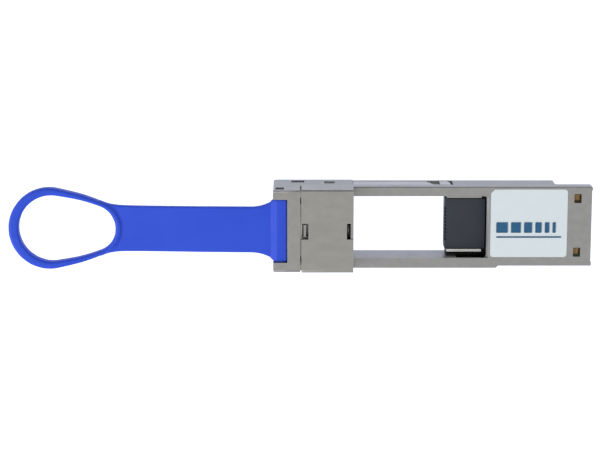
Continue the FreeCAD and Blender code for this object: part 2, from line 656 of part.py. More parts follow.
def peep_span(sign, width):
    """A Y span centred on one of the two inspection holes."""
    middle = f"peep_shift + ({sign}) * peep_side"
    return (f"{middle} - {width} / 2", f"{middle} + {width} / 2")


def gasket_bar(name, sign):
    """The seam gasket's section, half of it above the parting line."""
    return box(name, (behind("gasket_front"), behind("gasket_rear")),
               on_side(sign, "gasket_side - gasket_wide / 2", "gasket_side + gasket_wide / 2"),
               ("split_z - gasket_high / 2", "split_z + gasket_high / 2"))


def housing_additions():
    """The cover lugs and the screw posts of the main casting."""
    posts = [rod(f"Post{i}", "post_r", behind(row), side_y(sign, "screw_side"), "ledge_top",
                 "plate_low + 0.2 - ledge_top")
             for i, (sign, row) in enumerate(screw_places())]
    front = box("FrontLug", (ahead("lug_front_a"), ahead("lug_front_b")), both("lug_half"),
                ("roof_top - 0.1", "lug_top"))
    notch = box("RearLugRoom", (ahead("lug_rear_a"), ahead("wall_x - 0.1")), both("lug_half"),
                ("roof_top - 0.1", "lug_top"))
    return posts + [front, notch]


def make_lower_shell():
    """The die-cast tray that closes the rear of the body from below."""
    rough = common("ShellRough", rounded_body_bar("ShellBar"),
                   box("ShellSpan", (behind("split_long"), behind("shell_long")),
                       both("body_half + overrun"), ("body_low - overrun", "split_z")))
    nose = box("ShellNose", (behind("under_window_long"), behind("split_long")),
               ("-rail_right + arm_gap", "rail_left - arm_gap"),
               ("body_low", "body_low + floor_thin"))
    floor = "body_low + floor_thin"
    tray = [
        box("ConnectorRoom", (behind("split_long - overrun"), behind("floor_step")), both("ledge_in"),
            (floor, "split_z + overrun")),
        box("CardRoom", (behind("card_front - 0.2"), behind("shell_long + overrun")),
            both("card_half + 0.1"), ("body_low + floor_thick", "split_z + overrun")),
        box("LedgeRoom", (behind("hollow_long"), behind("shell_long + overrun")), both("hollow_half"),
            ("ledge_top", "split_z + overrun")),
        box("FrontLedgeRoom", (behind("split_long - overrun"), behind("hollow_long + 0.1")),
            ("-rail_right", "rail_left"), (floor, "split_z + overrun")),
        box("LeftTrench", (behind("hollow_long"), behind("trench_rear")),
            on_side(1, "guide_out", "hollow_half"), (floor, "split_z + overrun")),
        box("RightTrench", (behind("hollow_long"), behind("trench_rear")),
            on_side(-1, "guide_out", "hollow_half"), (floor, "split_z + overrun")),
        box("PlugRoom", (behind("card_wide_from - 0.1"), behind("shell_long + overrun")),
            both("hollow_half"), ("card_low", "split_z + overrun")),
    ]
    tray += [gasket_bar(f"LowerGasketGroove{i}", sign) for i, sign in enumerate((1, -1))]
    hollow = cut("ShellHollow", fuse("ShellSolid", [rough, nose]), tray)
    rests = [box(f"CardRest{i}", (behind(x), behind(f"{x} + 1.2")), both("card_half + 0.3"),
                 ("body_low", "card_low"))
             for i, x in enumerate(("screw_front", "screw_rear"))]
    guides = [box(f"Guide{i}", (behind("guide_front"), behind("guide_rear")),
                  on_side(sign, "guide_in", "guide_out"), ("body_low", "guide_top"))
              for i, sign in enumerate((1, -1))]
    solid = fuse("ShellWithRests", [hollow] + rests + guides)
    holes = []
    for i, (sign, row) in enumerate(screw_places()):
        x, y = behind(row), side_y(sign, "screw_side")
        holes.append(rod(f"ScrewHole{i}", "screw_r + screw_gap", x, y, "body_low - overrun",
                         "split_z + overrun"))
        holes.append(countersink(f"ScrewSink{i}", x, y, "screw_gap"))
    return sub_part("lower_shell", cut("LowerShell", solid, holes))


def countersink(name, x, y, extra):
    """A screw's conical head, pointing up from the underside of the body."""
    cone = doc.addObject("Part::Cone", name)
    bind(cone, "Radius1", f"screw_head_r + {extra}")
    bind(cone, "Radius2", f"screw_r + {extra}")
    bind(cone, "Height", "screw_head_high")
    for axis, place in zip("xyz", (x, y, "body_low")):
        bind(cone, f"Placement.Base.{axis}", place)
    return cone


def make_screws():
    """Four countersunk screws with cross slots, from the lower shell into the posts."""
    screws = []
    cross_level = ("body_low - overrun", "body_low + cross_deep")
    for i, (sign, row) in enumerate(screw_places()):
        x, y = behind(row), side_y(sign, "screw_side")
        shank = rod(f"Shank{i}", "screw_r", x, y, "body_low", "screw_high")
        solid = fuse(f"ScrewSolid{i}", [countersink(f"ScrewHead{i}", x, y, "0"), shank])
        slots = [
            box(f"SlotX{i}", (f"{x} - cross_half", f"{x} + cross_half"),
                (f"{y} - cross_thin", f"{y} + cross_thin"), cross_level),
            box(f"SlotY{i}", (f"{x} - cross_thin", f"{x} + cross_thin"),
                (f"{y} - cross_half", f"{y} + cross_half"), cross_level),
        ]
        screws.append(cut(f"Screw{i}", solid, slots))
    return sub_part("shell_screws", group("Screws", screws))


def make_bezel():
    """The front arch round the throat, with the notch that the pull tab leaves through."""
    block = box("BezelBlock", (ahead("head_long"), ahead("bezel_rear")), both("bezel_half"),
                ("seam_z", "bezel_top"))
    front, top = evaluate(ahead("head_long")), value_of("bezel_top")
    block = rounded("BezelRound", block, "head_round",
                    lambda at, along: (is_along(along, "z") and abs(at.x - front) < 0.01)
                    or (is_along(along, "x") and abs(at.z - top) < 0.01))
    tools = [
        box("BezelLinerRoom", (ahead("liner_front + 0.05"), ahead("bezel_rear - overrun")),
            both("cavity_half"), ("seam_z - overrun", "cavity_top")),
        box("BezelMouth", (ahead("head_long + overrun"), ahead("liner_front")),
            both("throat_half + 0.05"), ("seam_z - overrun", "throat_top + 0.05")),
        box("TabNotch", (ahead("head_long + overrun"), ahead("notch_rear")), both("notch_half"),
            ("notch_low", "bezel_top + overrun")),
        box("TabTunnel", (ahead("notch_rear + 0.1"), ahead("bezel_rear - overrun")), both("notch_half"),
            ("notch_low", "bezel_roof")),
        box("SideWindows", (ahead("side_window_front"), ahead("side_window_rear")),
            both("bezel_half + overrun"), ("side_window_low", "side_window_top")),
    ]
    tools += [rod(f"BezelDowelHole{i}", "dowel_r", ahead("bezel_rear + dowel_long / 2"),
                  side_y(sign, "dowel_side"), "dowel_z", "dowel_long", along="x")
              for i, sign in enumerate((1, -1))]
    return sub_part("front_bezel", cut("Bezel", block, tools))


def make_dowels():
    """Two dowel pins that locate the bezel on the head's cheeks."""
    pins = [rod(f"Dowel{i}", "dowel_r", ahead("bezel_rear + dowel_long / 2 - 0.05"),
                side_y(sign, "dowel_side"), "dowel_z", "dowel_long - 0.1", along="x")
            for i, sign in enumerate((1, -1))]
    return sub_part("bezel_dowels", group("Dowels", pins))


def make_cover():
    """The sheet-steel cap over the slider, with a cut-out at each end for a lug."""
    block = box("CoverBlock", (ahead("cover_long"), "stop_x"), both("cover_half"),
                ("flange_low", "cover_top"))
    top = value_of("cover_top")
    block = rounded("CoverRound", block, "head_round",
                    lambda at, along: is_along(along, "x") and abs(at.z - top) < 0.01)
    tools = [
        box("CoverInside", (ahead("cover_long + overrun"), "stop_x + overrun"),
            both("cover_half - cover_thick"), ("flange_low - overrun", "cover_top - cover_thick")),
        box("CutoutFront", (ahead("cover_long + overrun"), ahead("cutout_front")), both("cutout_half"),
            ("cover_top - overrun", "cover_top + overrun")),
        box("CutoutRear", (ahead("cutout_rear"), "stop_x + overrun"), both("cutout_half"),
            ("cover_top - overrun", "cover_top + overrun")),
    ]
    return sub_part("head_cover", cut("Cover", block, tools))


def make_liner():
    """The sheet sleeve that guides the small transceiver through the head."""
    span = (ahead("liner_front"), ahead("liner_rear"))
    outside = box("LinerOutside", span, both("throat_half + liner_thick"),
                  ("throat_low - liner_thick", "throat_top + liner_thick"))
    tools = [
        box("LinerInside", (ahead("liner_front + overrun"), "stop_x + overrun"), both("throat_half"),
            ("throat_low", "throat_top")),
        box("LeafRoom", (ahead("liner_front + overrun"), ahead("leaf_rear - leaf_gap")),
            both("leaf_half + leaf_gap"), ("throat_low - overrun", "throat_low + 0.1")),
    ]
    return sub_part("throat_liner", cut("Liner", outside, tools))


def finger_profile(base, towards):
    """A shielding finger seen from its side: rooted at the mouth and bowed into the throat."""
    root, end = ahead("liner_front - 0.1"), ahead("liner_front - finger_long")
    crest = ahead("liner_front - finger_crest")
    reach = f"{towards} * finger_reach"
    sheet_side = f"{towards} * finger_thick"
    return [(root, base), (crest, f"{base} + {reach}"), (end, base),
            (end, f"{base} + {sheet_side}"), (crest, f"{base} + {reach} + {sheet_side}"),
            (root, f"{base} + {sheet_side}")]


def make_fingers():
    """The shielding fingers on all four sides of the throat's mouth."""
    fingers = []
    for step in (-3, -2, -1, 0, 1, 2, 3):
        middle = f"{step} * finger_pitch"
        span = (f"{middle} - finger_wide / 2", f"{middle} + finger_wide / 2")
        fingers.append(prism(f"FingerTop{step + 3}", "XZ", finger_profile("throat_top", -1), *span))
        if abs(step) > 1:
            low = finger_profile("throat_low", 1)
            fingers.append(prism(f"FingerLow{step + 3}", "XZ", low, *span))
    for step in (-1, 0, 1):
        middle = f"(throat_low + throat_top) / 2 + {step} * finger_pitch_side"
        span = (f"{middle} - finger_wide / 2", f"{middle} + finger_wide / 2")
        for sign, wall in ((1, "throat_half"), (-1, "-throat_half")):
            name = f"FingerSide{step + 1}{'L' if sign > 0 else 'R'}"
            fingers.append(prism(name, "XY", finger_profile(wall, -sign), *span))
    return sub_part("shielding_fingers", group("Fingers", fingers))


def make_latch_tongue():
    """The spring leaf under the throat, whose triangular hole catches the transceiver's boss."""
    sheet_part = box("LeafSheet", (ahead("leaf_front"), ahead("leaf_rear")), both("leaf_half"),
                     ("throat_low - liner_thick", "throat_low"))
    root = cross_rod("LeafRoot", "liner_thick / 2", ahead("leaf_rear"),
                     "throat_low - liner_thick / 2", "leaf_half")
    leaf = fuse("LeafSolid", [sheet_part, root])
    catch = prism("CatchHole", "XY",
                  [(ahead("catch_front"), "0"), (ahead("catch_rear"), "-catch_half"),
                   (ahead("catch_rear"), "catch_half")],
                  "throat_low - overrun", "throat_low + overrun")
    return sub_part("latch_tongue", cut("Leaf", leaf, [catch]))


def arm_solids(sign):
    """One side arm of the slider: drop, spring foot, long arm, neck and bent-out tip."""
    side = "Left" if sign > 0 else "Right"
    inner, outer = "arm_in", "arm_in + arm_thick"
    long_y = on_side(sign, "arm_in + arm_joggle", "arm_in + arm_joggle + arm_thick")
    thin = on_side(sign, "arm_in", "arm_in + neck_thick")
    tip_a, tip_b = behind("tip_long"), behind("tip_end")
    tip = [(tip_a, side_y(sign, inner)), (f"{tip_a} + neck_thick", side_y(sign, inner)),
           (f"{tip_a} + neck_thick", side_y(sign, "tip_out - neck_thick")),
           (tip_b, side_y(sign, "tip_out - neck_thick - tip_hook")),
           (tip_b, side_y(sign, "tip_out - tip_hook")),
           (f"{tip_b} - tip_curl", side_y(sign, "tip_out")), (tip_a, side_y(sign, "tip_out"))]
    end = [(behind("joggle_long - arm_lap"), "arm_low"), (behind("arm_end_low"), "arm_low"),
           (behind("arm_end_top"), "arm_top"), (behind("joggle_long - arm_lap"), "arm_top")]
    return [
        box(f"ArmDrop{side}", (ahead("bar_front"), ahead("bar_rear")),
            on_side(sign, inner, outer), ("arm_low", "bar_low + arm_thick")),
        box(f"ArmInHead{side}", (ahead("bar_front"), behind("joggle_long")),
            on_side(sign, inner, outer), ("arm_low", "arm_top")),
        box(f"FootBar{side}", (ahead("foot_front"), ahead("bar_front - 0.1")),
            on_side(sign, inner, outer), ("foot_low", "foot_top")),
        box(f"Foot{side}", (ahead("foot_front"), ahead("foot_front - foot_thick")),
            on_side(sign, "foot_in", outer), ("foot_low", "foot_top")),
        prism(f"LongArm{side}", "XZ", end, *long_y),
        box(f"Neck{side}", (behind("arm_end_low - 2"), f"{tip_a} + neck_thick"), thin,
            ("arm_low + neck_trim", "arm_top - neck_trim")),
        prism(f"Tip{side}", "XY", tip, "arm_low + neck_trim",
              "arm_top - neck_trim"),
    ]


def make_slider():
    """The stamped slider: forward tongue, cross bar and two side arms."""
    level = ("bar_low", "bar_low + arm_thick")
    solids = [
        box("SliderTongue", (ahead("tongue_front"), ahead("tab_rear - 0.2")),
            both("tongue_half"), level),
        box("SliderPlate", (ahead("tab_rear - 0.1"), ahead("bar_rear")), both("plate_half"), level),
        box("SliderBar", (ahead("bar_front"), ahead("bar_rear")), both("arm_in + arm_thick"), level),
    ]
    for sign in (1, -1):
        solids += arm_solids(sign)
    slot = box("StopSlot", (ahead("stop_slot_front"), ahead("stop_slot_rear")),
               both("stop_slot_half"), ("bar_low - overrun", "bar_low + arm_thick + overrun"))
    return sub_part("latch_slider", cut("Slider", fuse("SliderSolid", solids), [slot]))


def make_springs():
    """Two return springs between the front of their pockets and the slider's feet."""
    for side, sign in (("left", 1), ("right", -1)):
        helix = doc.addObject("Part::Helix", f"SpringPath{side}")
        helix.Placement = Placement(Vector(), Rotation(Vector(0, 1, 0), 90))
        bind(helix, "Radius", "spring_mean / 2")
        bind(helix, "Height", "pocket_front - foot_front - spring_wire - 0.04")
        bind(helix, "Pitch", "(pocket_front - foot_front - spring_wire - 0.04) / spring_turns")
        wire = doc.addObject("Part::Circle", f"SpringWire{side}")
        wire.Placement = Placement(Vector(), Rotation(Vector(1, 0, 0), 90))
        bind(wire, "Radius", "spring_wire / 2")
        start = ahead("pocket_front - spring_wire / 2 - 0.02")
        for axis, place in zip("xyz", (start, side_y(sign, "spring_y"), "spring_z")):
            bind(helix, f"Placement.Base.{axis}", place)
            lower = f"{place} - spring_mean / 2" if axis == "z" else place
            bind(wire, f"Placement.Base.{axis}", lower)
        coil = doc.addObject("Part::Sweep", f"Spring{side}")
        coil.Sections = [wire]
        coil.Spine = (helix, ["Edge1"])
        coil.Solid = True
        coil.Frenet = True
        sub_part(f"return_spring_{side}", coil)


def make_tab_head():
    """The tab's moulded head and the strap's near stretch."""
    near_end = ahead("bend_long - strap_thick / 2 - bend_gap")
    side = prism("TabSide", "XZ",
                 [(near_end, "bend_top - strap_thick"), (near_end, "bend_top"),
                  (ahead("ridge_front"), "strap_top"), (ahead("ridge_rear"), "tab_top"),
                  (ahead("tab_rear"), "tab_top"), (ahead("tab_rear"), "tab_low"),
                  (ahead("ridge_rear"), "tab_low"),
                  (ahead("ridge_front"), "strap_top - strap_thick")],
                 "-tab_half", "tab_half")
    plan = prism("TabPlan", "XY",
                 [(f"{near_end} - overrun", "-strap_half"), (ahead("flare_front"), "-strap_half"),
                  (ahead("ridge_front + flare_knee"), "-tab_half + flare_step"),
                  (ahead("ridge_front"), "-tab_half"),
                  (ahead("tab_rear - overrun"), "-tab_half"), (ahead("tab_rear - overrun"), "tab_half"),
                  (ahead("ridge_front"), "tab_half"),
                  (ahead("ridge_front + flare_knee"), "tab_half - flare_step"),
                  (ahead("flare_front"), "strap_half"), (f"{near_end} - overrun", "strap_half")],
                 "tab_low - overrun", "tab_top + overrun")
    pocket = box("TonguePocket", (ahead("tongue_front"), ahead("tab_rear - overrun")),
                 both("tongue_half"), ("bar_low", "bar_low + arm_thick"))
    return sub_part("pull_tab_head", cut("TabHead", common("TabHeadRough", side, plan), [pocket]))


def make_tab_loop():
    """The strap's far stretch and the finger loop."""
    ring = teardrop("RingOutside", ahead("ring_far"), "ring_far_r", ahead("ring_near"),
                    "ring_near_r", "ring_low", "ring_top")
    hole = teardrop("RingHole", ahead("hole_far"), "hole_far_r", ahead("ring_near"),
                    "hole_near_r", "ring_low - overrun", "ring_top + overrun")
    bend = ahead("bend_long")
    strap = prism("StrapFar", "XZ",
                  [(ahead("ring_near"), "ring_top - strap_thick"), (ahead("ring_near"), "ring_top"),
                   (ahead("ring_near - ring_flat"), "ring_top"), (bend, "bend_top"),
                   (bend, "bend_top - strap_thick"), (ahead("ring_near - ring_flat"),
                                                    "ring_top - strap_thick")],
                  "-strap_half", "strap_half")
    knuckle = cross_rod("StrapEnd", "strap_thick / 2", bend, "bend_top - strap_thick / 2",
                        "strap_half")
    solid = fuse("LoopSolid", [ring, strap, knuckle])
    return sub_part("pull_tab_loop", cut("TabLoop", solid, [hole]))


def make_card():
    """The paddle card, whose bevelled rear edge is the host plug."""
    low, high = "card_low", "card_low + card_thick"
    front, plug = behind("card_front"), behind("card_rear")
    wide = behind("card_wide_from")
    plan = prism("CardPlan", "XY",
                 [(front, "-card_half"), (wide, "-card_half"), (wide, "-card_plug_half"),
                  (plug, "-card_plug_half"), (plug, "card_plug_half"), (wide, "card_plug_half"),
                  (wide, "card_half"), (front, "card_half")], low, high)
    rear = evaluate(plug)
    doc.recompute()
    edges = [(n, value_of("card_bevel"), value_of("card_bevel"))
             for n, e in enumerate(plan.Shape.Edges, start=1)
             if abs(e.CenterOfMass.x - rear) < 0.01 and e.Length > value_of("card_thick") * 2]
    card = doc.addObject("Part::Chamfer", "Card")
    card.Base = plan
    card.Edges = edges
    return sub_part("paddle_card", card)


def make_host_pads():
    """The gold pads of the host plug, on both faces of the card."""
    top = "card_low + card_thick"
    levels = {"top": (top, f"{top} + pad_thick"), "bottom": ("card_low - pad_thick", "card_low")}
    for face, level in levels.items():
        pads = []
        for i in range(PADS_PER_SIDE):
            middle = f"({i} - {PADS_PER_SIDE // 2}) * pad_pitch"
            front = "pad_front_long" if i in LONG_PADS else "pad_front"
            pads.append(box(f"Pad{face}{i}", (behind(front), behind("pad_rear")),
                            (f"{middle} - pad_wide / 2", f"{middle} + pad_wide / 2"), level))
        sub_part(f"host_pads_{face}", group(f"Pads{face}", pads))


def contact_spans(width):
    """The Y span of each port contact."""
    count = int(value_of("port_count"))
    middles = [f"({i} - (port_count - 1) / 2) * port_pitch" for i in range(count)]
    return [(f"{m} - {width} / 2", f"{m} + {width} / 2") for m in middles]


def make_port_connector():
    """The moulded edge connector that takes the small transceiver's card."""
    main = box("PortBlock", (behind("port_front"), behind("port_rear")), both("port_half"),
               ("port_low", "port_top"))
    hood = box("PortHood", (behind("port_rear - 0.1"), behind("port_rear + hood_long")),
               both("port_half"), ("card_low + card_thick + tail_room", "port_top - hood_drop"))
    block = fuse("PortSolid", [main, hood])
    slot_low, slot_high = ("port_slot_z - port_slot_half_z", "port_slot_z + port_slot_half_z")
    tools = [
        box("CardSlot", (behind("port_front - overrun"), behind("port_slot_rear")),
            both("port_slot_half"), (slot_low, slot_high)),
        box("StraddleSlot", (behind("card_front - 0.1"), behind("port_rear + overrun")),
            both("port_half + overrun"),
            ("card_low - straddle_gap", "card_low + card_thick + straddle_gap")),
    ]
    cell_x = (behind("port_front + cell_lip"), behind("port_slot_rear"))
    tail_x = (behind("port_slot_rear - 0.1"), behind("port_rear + overrun"))
    for i, span in enumerate(contact_spans("port_cell")):
        tools += [
            box(f"CellUpper{i}", cell_x, span, (slot_high, f"{slot_high} + cell_deep")),
            box(f"CellLower{i}", cell_x, span, (f"{slot_low} - cell_deep", slot_low)),
            box(f"CombUpper{i}", (behind("port_front - overrun"), behind("port_front + port_comb")), span,
                (f"{slot_high} + comb_lip", "port_top + overrun")),
            box(f"TailUpper{i}", tail_x, span,
                ("card_low + card_thick", "card_low + card_thick + tail_room")),
            box(f"TailLower{i}", tail_x, span, ("card_low - tail_room_low", "card_low")),
        ]
    return sub_part("port_connector", cut("Port", block, tools))


def make_port_contacts():
    """The two rows of bowed contacts, with tails on both faces of the card."""
    root, front = behind("port_slot_rear - 0.4"), behind("port_front + pin_free")
    crest = behind("port_front + pin_crest")
    tail_end, tail_start = behind("port_rear + tail_long"), behind("card_front + 0.3")
    tail_high = "card_low + card_thick + tail_solder"
    tail_low = "card_low - tail_solder - pin_thick"
    heights = {"crest": "pin_touch", "front": "pin_open", "root": "pin_root"}
    rise = {place: f"port_slot_z + {height}" for place, height in heights.items()}
    drop = {place: f"port_slot_z - {height} - pin_thick" for place, height in heights.items()}
    for row, level, tail in (("upper", rise, tail_high), ("lower", drop, tail_low)):
        line = [(tail_end, tail), (tail_start, tail), (root, level["root"]),
                (crest, level["crest"]), (front, level["front"])]
        profile = line + [(x, f"{z} + pin_thick") for x, z in reversed(line)]
        pins = [prism(f"Pin{row}{i}", "XZ", profile, *span)
                for i, span in enumerate(contact_spans("port_pin"))]
        sub_part(f"port_contacts_{row}", group(f"Pins{row}", pins))


def block_on_card(name, part, x, y, under=False):
    """A component of a named kind centred at a place on the card's top, or under it."""
    top = "card_low + card_thick"
    high = f"{part}_high"
    level = (f"card_low - {high}", "card_low") if under else (top, f"{top} + {high}")
    return box(name, (behind(f"{x} - {part}_long / 2"), behind(f"{x} + {part}_long / 2")),
               (f"{y} - {part}_wide / 2", f"{y} + {part}_wide / 2"), level)


def card_row(name, part, count, x, y, along_x="0", along_y="0", under=False):
    """A row of equal components, each one step further along."""
    return [block_on_card(f"{name}{i}", part, f"({x} + {i} * {along_x})",
                          f"({y} + {i} * {along_y})", under)
            for i in range(count)]


def make_components():
    """The chips and passive parts on the paddle card."""
    sub_part("controller_chip", block_on_card("Controller", "chip", "chip_at", "0"))
    memory = block_on_card("Memory", "memory", "memory_at", "memory_side")
    sub_part("memory_chip", memory)
    leads = []
    for side, sign in (("L", "+"), ("R", "-")):
        leads += card_row(f"Lead{side}", "lead", LEADS_PER_SIDE, "lead_at",
                          f"memory_side {sign} lead_side", "lead_pitch")
    sub_part("memory_leads", group("Leads", leads))
    inductors = card_row("Inductor", "coil", INDUCTORS, "coil_at", "coil_side", "coil_pitch")
    sub_part("power_inductors", group("Inductors", inductors))
    capacitors = card_row("Capacitor", "capacitor", CAPACITORS, "capacitor_at", "capacitor_side",
                          "capacitor_pitch")
    capacitors += card_row("CapacitorUnder", "capacitor_under", CAPACITORS_UNDER,
                           "capacitor_under_at", "capacitor_under_side", "0", "under_pitch", True)
    sub_part("capacitors", group("Capacitors", capacitors))
    resistors = card_row("Resistor", "resistor", RESISTORS, "resistor_at", "resistor_side",
                         "resistor_pitch")
    resistors += card_row("ResistorUnder", "resistor_under", RESISTORS, "resistor_under_at",
                          "resistor_under_side", "0", "under_pitch", True)
    sub_part("resistors", group("Resistors", resistors))


def make_ground_clips():
    """Two folded clips on the card, seen through the inspection holes, that ground the top plate."""
    low, high = "card_low + card_thick", "plate_low - 0.05"
    middle = behind("peep_long")
    thick = "clip_thick"
    front, rear = f"{middle} - clip_long / 2", f"{middle} + clip_long / 2"
    crown = f"{middle} + clip_crown"
    profile = [(f"{front} - clip_foot", low), (f"{front} - clip_foot", f"{low} + {thick}"),
               (front, f"{low} + {thick}"), (front, f"{high} - {thick} * 2"), (crown, high),
               (rear, f"{high} - {thick} * 3"), (f"{rear} - clip_crown", f"{high} - {thick} * 4"),
               (crown, f"{high} - {thick}"), (f"{front} + {thick}", f"{high} - {thick} * 3"),
               (f"{front} + {thick}", low)]
    clips = [prism(f"Clip{i}", "XZ", profile, *peep_span(sign, "clip_wide"))
             for i, sign in enumerate((1, -1))]
    return sub_part("ground_clips", group("GroundClips", clips))


def make_gaskets():
    """The conductive gasket strips in the parting line."""
    for side, sign in (("left", 1), ("right", -1)):
        sub_part(f"seam_gasket_{side}", gasket_bar(f"Gasket{side}", sign))


def make_label():
    """The label on the top plate: rounded corners and one cut corner."""
    front, rear = behind("label_front"), behind("label_rear")
    low, high = "label_shift - label_half", "label_shift + label_half"
    sheet_body = prism("LabelSheet", "XY",
                       [(front, low), (rear, low), (rear, high), (f"{front} + label_cut", high),
                        (front, f"{high} - label_cut")],
                       "body_top", "body_top + label_thick")
    x_low, x_high = evaluate(front), evaluate(rear)
    y_low, y_high = evaluate(low), evaluate(high)
    corners = [(x_low, y_low), (x_high, y_low), (x_high, y_high)]
    label = rounded("Label", sheet_body, "label_round",
                    lambda at, along: is_along(along, "z")
                    and any(math.hypot(at.x - x, at.y - y) < 0.01 for x, y in corners))
    return sub_part("label", label)


def check_and_export():
    """Recompute, refuse anything that failed, and write one STEP file a sub-part."""
    doc.recompute()
    for thing in doc.Objects:
        if "Invalid" in thing.State or "Error" in thing.State:
            raise RuntimeError(f"{thing.Name} failed: {thing.State}")
    os.makedirs("parts", exist_ok=True)
    for thing in sub_parts:
        shape = thing.Shape
        if shape.isNull() or not shape.isValid():
            raise RuntimeError(f"{thing.Label} has no valid shape")
        shape.exportStep(f"parts/{thing.Label}.step")
        solids = len(shape.Solids)
        print(f"{thing.Label:22s} {solids:3d} solid(s) {shape.Volume:9.2f} mm3")


make_housing()
make_lower_shell()
make_screws()
make_bezel()
make_dowels()
make_cover()
make_liner()
make_fingers()
make_latch_tongue()
make_slider()
make_springs()
make_tab_head()
make_tab_loop()
make_card()
make_host_pads()
make_port_connector()
make_port_contacts()
make_components()
make_ground_clips()
make_gaskets()
make_label()
check_and_export()
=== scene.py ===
import json
import math

import bmesh
import bpy
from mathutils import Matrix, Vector


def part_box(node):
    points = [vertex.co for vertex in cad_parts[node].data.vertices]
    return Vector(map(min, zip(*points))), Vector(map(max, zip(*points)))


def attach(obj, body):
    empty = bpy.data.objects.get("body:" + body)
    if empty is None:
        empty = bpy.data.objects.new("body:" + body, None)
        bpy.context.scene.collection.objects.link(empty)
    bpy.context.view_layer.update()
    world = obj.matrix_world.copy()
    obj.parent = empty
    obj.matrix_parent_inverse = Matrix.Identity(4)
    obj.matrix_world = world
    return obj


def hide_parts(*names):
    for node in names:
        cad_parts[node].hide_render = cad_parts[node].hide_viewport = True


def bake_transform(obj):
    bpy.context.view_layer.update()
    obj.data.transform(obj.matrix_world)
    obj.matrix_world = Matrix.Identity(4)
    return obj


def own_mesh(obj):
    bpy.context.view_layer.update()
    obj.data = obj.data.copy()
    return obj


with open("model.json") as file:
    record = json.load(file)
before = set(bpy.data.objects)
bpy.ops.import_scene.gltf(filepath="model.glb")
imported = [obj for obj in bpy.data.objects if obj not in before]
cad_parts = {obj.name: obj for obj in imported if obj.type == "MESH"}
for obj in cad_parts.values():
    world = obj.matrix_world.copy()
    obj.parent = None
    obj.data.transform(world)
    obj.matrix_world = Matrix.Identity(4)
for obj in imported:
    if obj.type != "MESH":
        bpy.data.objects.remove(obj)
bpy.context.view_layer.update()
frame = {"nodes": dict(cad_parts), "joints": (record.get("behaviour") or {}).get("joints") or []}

MM = 0.001
NODES = frame["nodes"]
JOINTS = {joint["name"]: joint for joint in frame["joints"]}

# ---------------------------------------------------------------- camera, floor and lights

CAMERA_TILT = math.radians(11.5)
CAMERA_DISTANCE = 470 * MM
CAMERA_LENS = 124.4
AIM = Vector((-0.2 * MM, 0.36 * MM, 8.9 * MM))
FLOOR_SIZE = 4
FLOOR_DROP = 0.05 * MM
GLOW_TO_CAMERA = 1.16
GLOW_TO_PART = 0.63
WALL_COLOUR = (0.05, 0.05, 0.055)


def add_camera():
    """A long lens above the label side, tilted a little so that the left flank shows."""
    away = Vector((0, math.sin(CAMERA_TILT), math.cos(CAMERA_TILT)))
    bpy.ops.object.camera_add(location=AIM + away * CAMERA_DISTANCE, rotation=(-CAMERA_TILT, 0, 0))
    camera = bpy.context.object
    camera.data.lens = CAMERA_LENS
    camera.data.sensor_width = 36
    camera.data.clip_start = 0.01
    camera.data.clip_end = 10
    bpy.context.scene.camera = camera


def add_area(name, at, towards, size, power, colour=(1, 1, 1)):
    """A square soft light that faces a point."""
    bpy.ops.object.light_add(type="AREA", location=at)
    light = bpy.context.object
    light.name = name
    light.data.size = size
    light.data.energy = power
    light.data.color = colour
    light.rotation_mode = "QUATERNION"
    light.rotation_quaternion = (Vector(towards) - Vector(at)).to_track_quat("-Z", "Y")


def add_studio():
    """A pale floor that glows fainter to the part than to the camera, a tent and two soft lights."""
    bpy.ops.mesh.primitive_plane_add(size=FLOOR_SIZE, location=(0, 0, -FLOOR_DROP))
    floor = bpy.context.object
    floor.name = "studio_floor"
    paper = bpy.data.materials.new("studio_paper")
    paper.use_nodes = True
    shader = paper.node_tree.nodes["Principled BSDF"]
    shader.inputs["Base Color"].default_value = (0.3, 0.3, 0.3, 1)
    shader.inputs["Roughness"].default_value = 0.9
    shader.inputs["Emission Color"].default_value = (0.87, 0.915, 1.05, 1)
    rays = put(paper.node_tree, "ShaderNodeLightPath")
    glow = spread(paper.node_tree, rays.outputs["Is Camera Ray"], GLOW_TO_PART, GLOW_TO_CAMERA, 0, 1)
    paper.node_tree.links.new(glow, shader.inputs["Emission Strength"])
    floor.data.materials.append(paper)
    bpy.context.scene.world = studio_world()
    middle = (0, 0, 0)
    add_area("key", (-0.7, -0.25, 0.55), middle, 0.45, 3.9)
    add_area("fill", (0.5, 0.6, 0.55), middle, 0.6, 0.8, (0.88, 0.9, 1.0))
    bpy.context.scene.view_settings.view_transform = "Standard"


def studio_world():
    """Pale to the camera; to everything else a soft tent with one dark wall on the left flank's side."""
    world = bpy.data.worlds.new("studio")
    world.use_nodes = True
    tree = world.node_tree
    coords = put(tree, "ShaderNodeTexCoord")
    parts = put(tree, "ShaderNodeSeparateXYZ")
    tree.links.new(coords.outputs["Generated"], parts.inputs["Vector"])
    tent = ramp(tree, parts.outputs["Z"], (0.0, (0.55, 0.56, 0.60)), (0.5, (0.62, 0.61, 0.60)),
                (0.95, (0.67, 0.66, 0.635)))
    wall = spread(tree, parts.outputs["Y"], 0, 1, 0.35, 0.7)
    sky = mix_colour(tree, wall, tent, WALL_COLOUR)
    seen = put(tree, "ShaderNodeLightPath")
    shown = mix_colour(tree, seen.outputs["Is Camera Ray"], sky, (1, 1, 1))
    tree.links.new(shown, tree.nodes["Background"].inputs["Color"])
    tree.nodes["Background"].inputs["Strength"].default_value = 1.0
    return world


# ---------------------------------------------------------------- materials


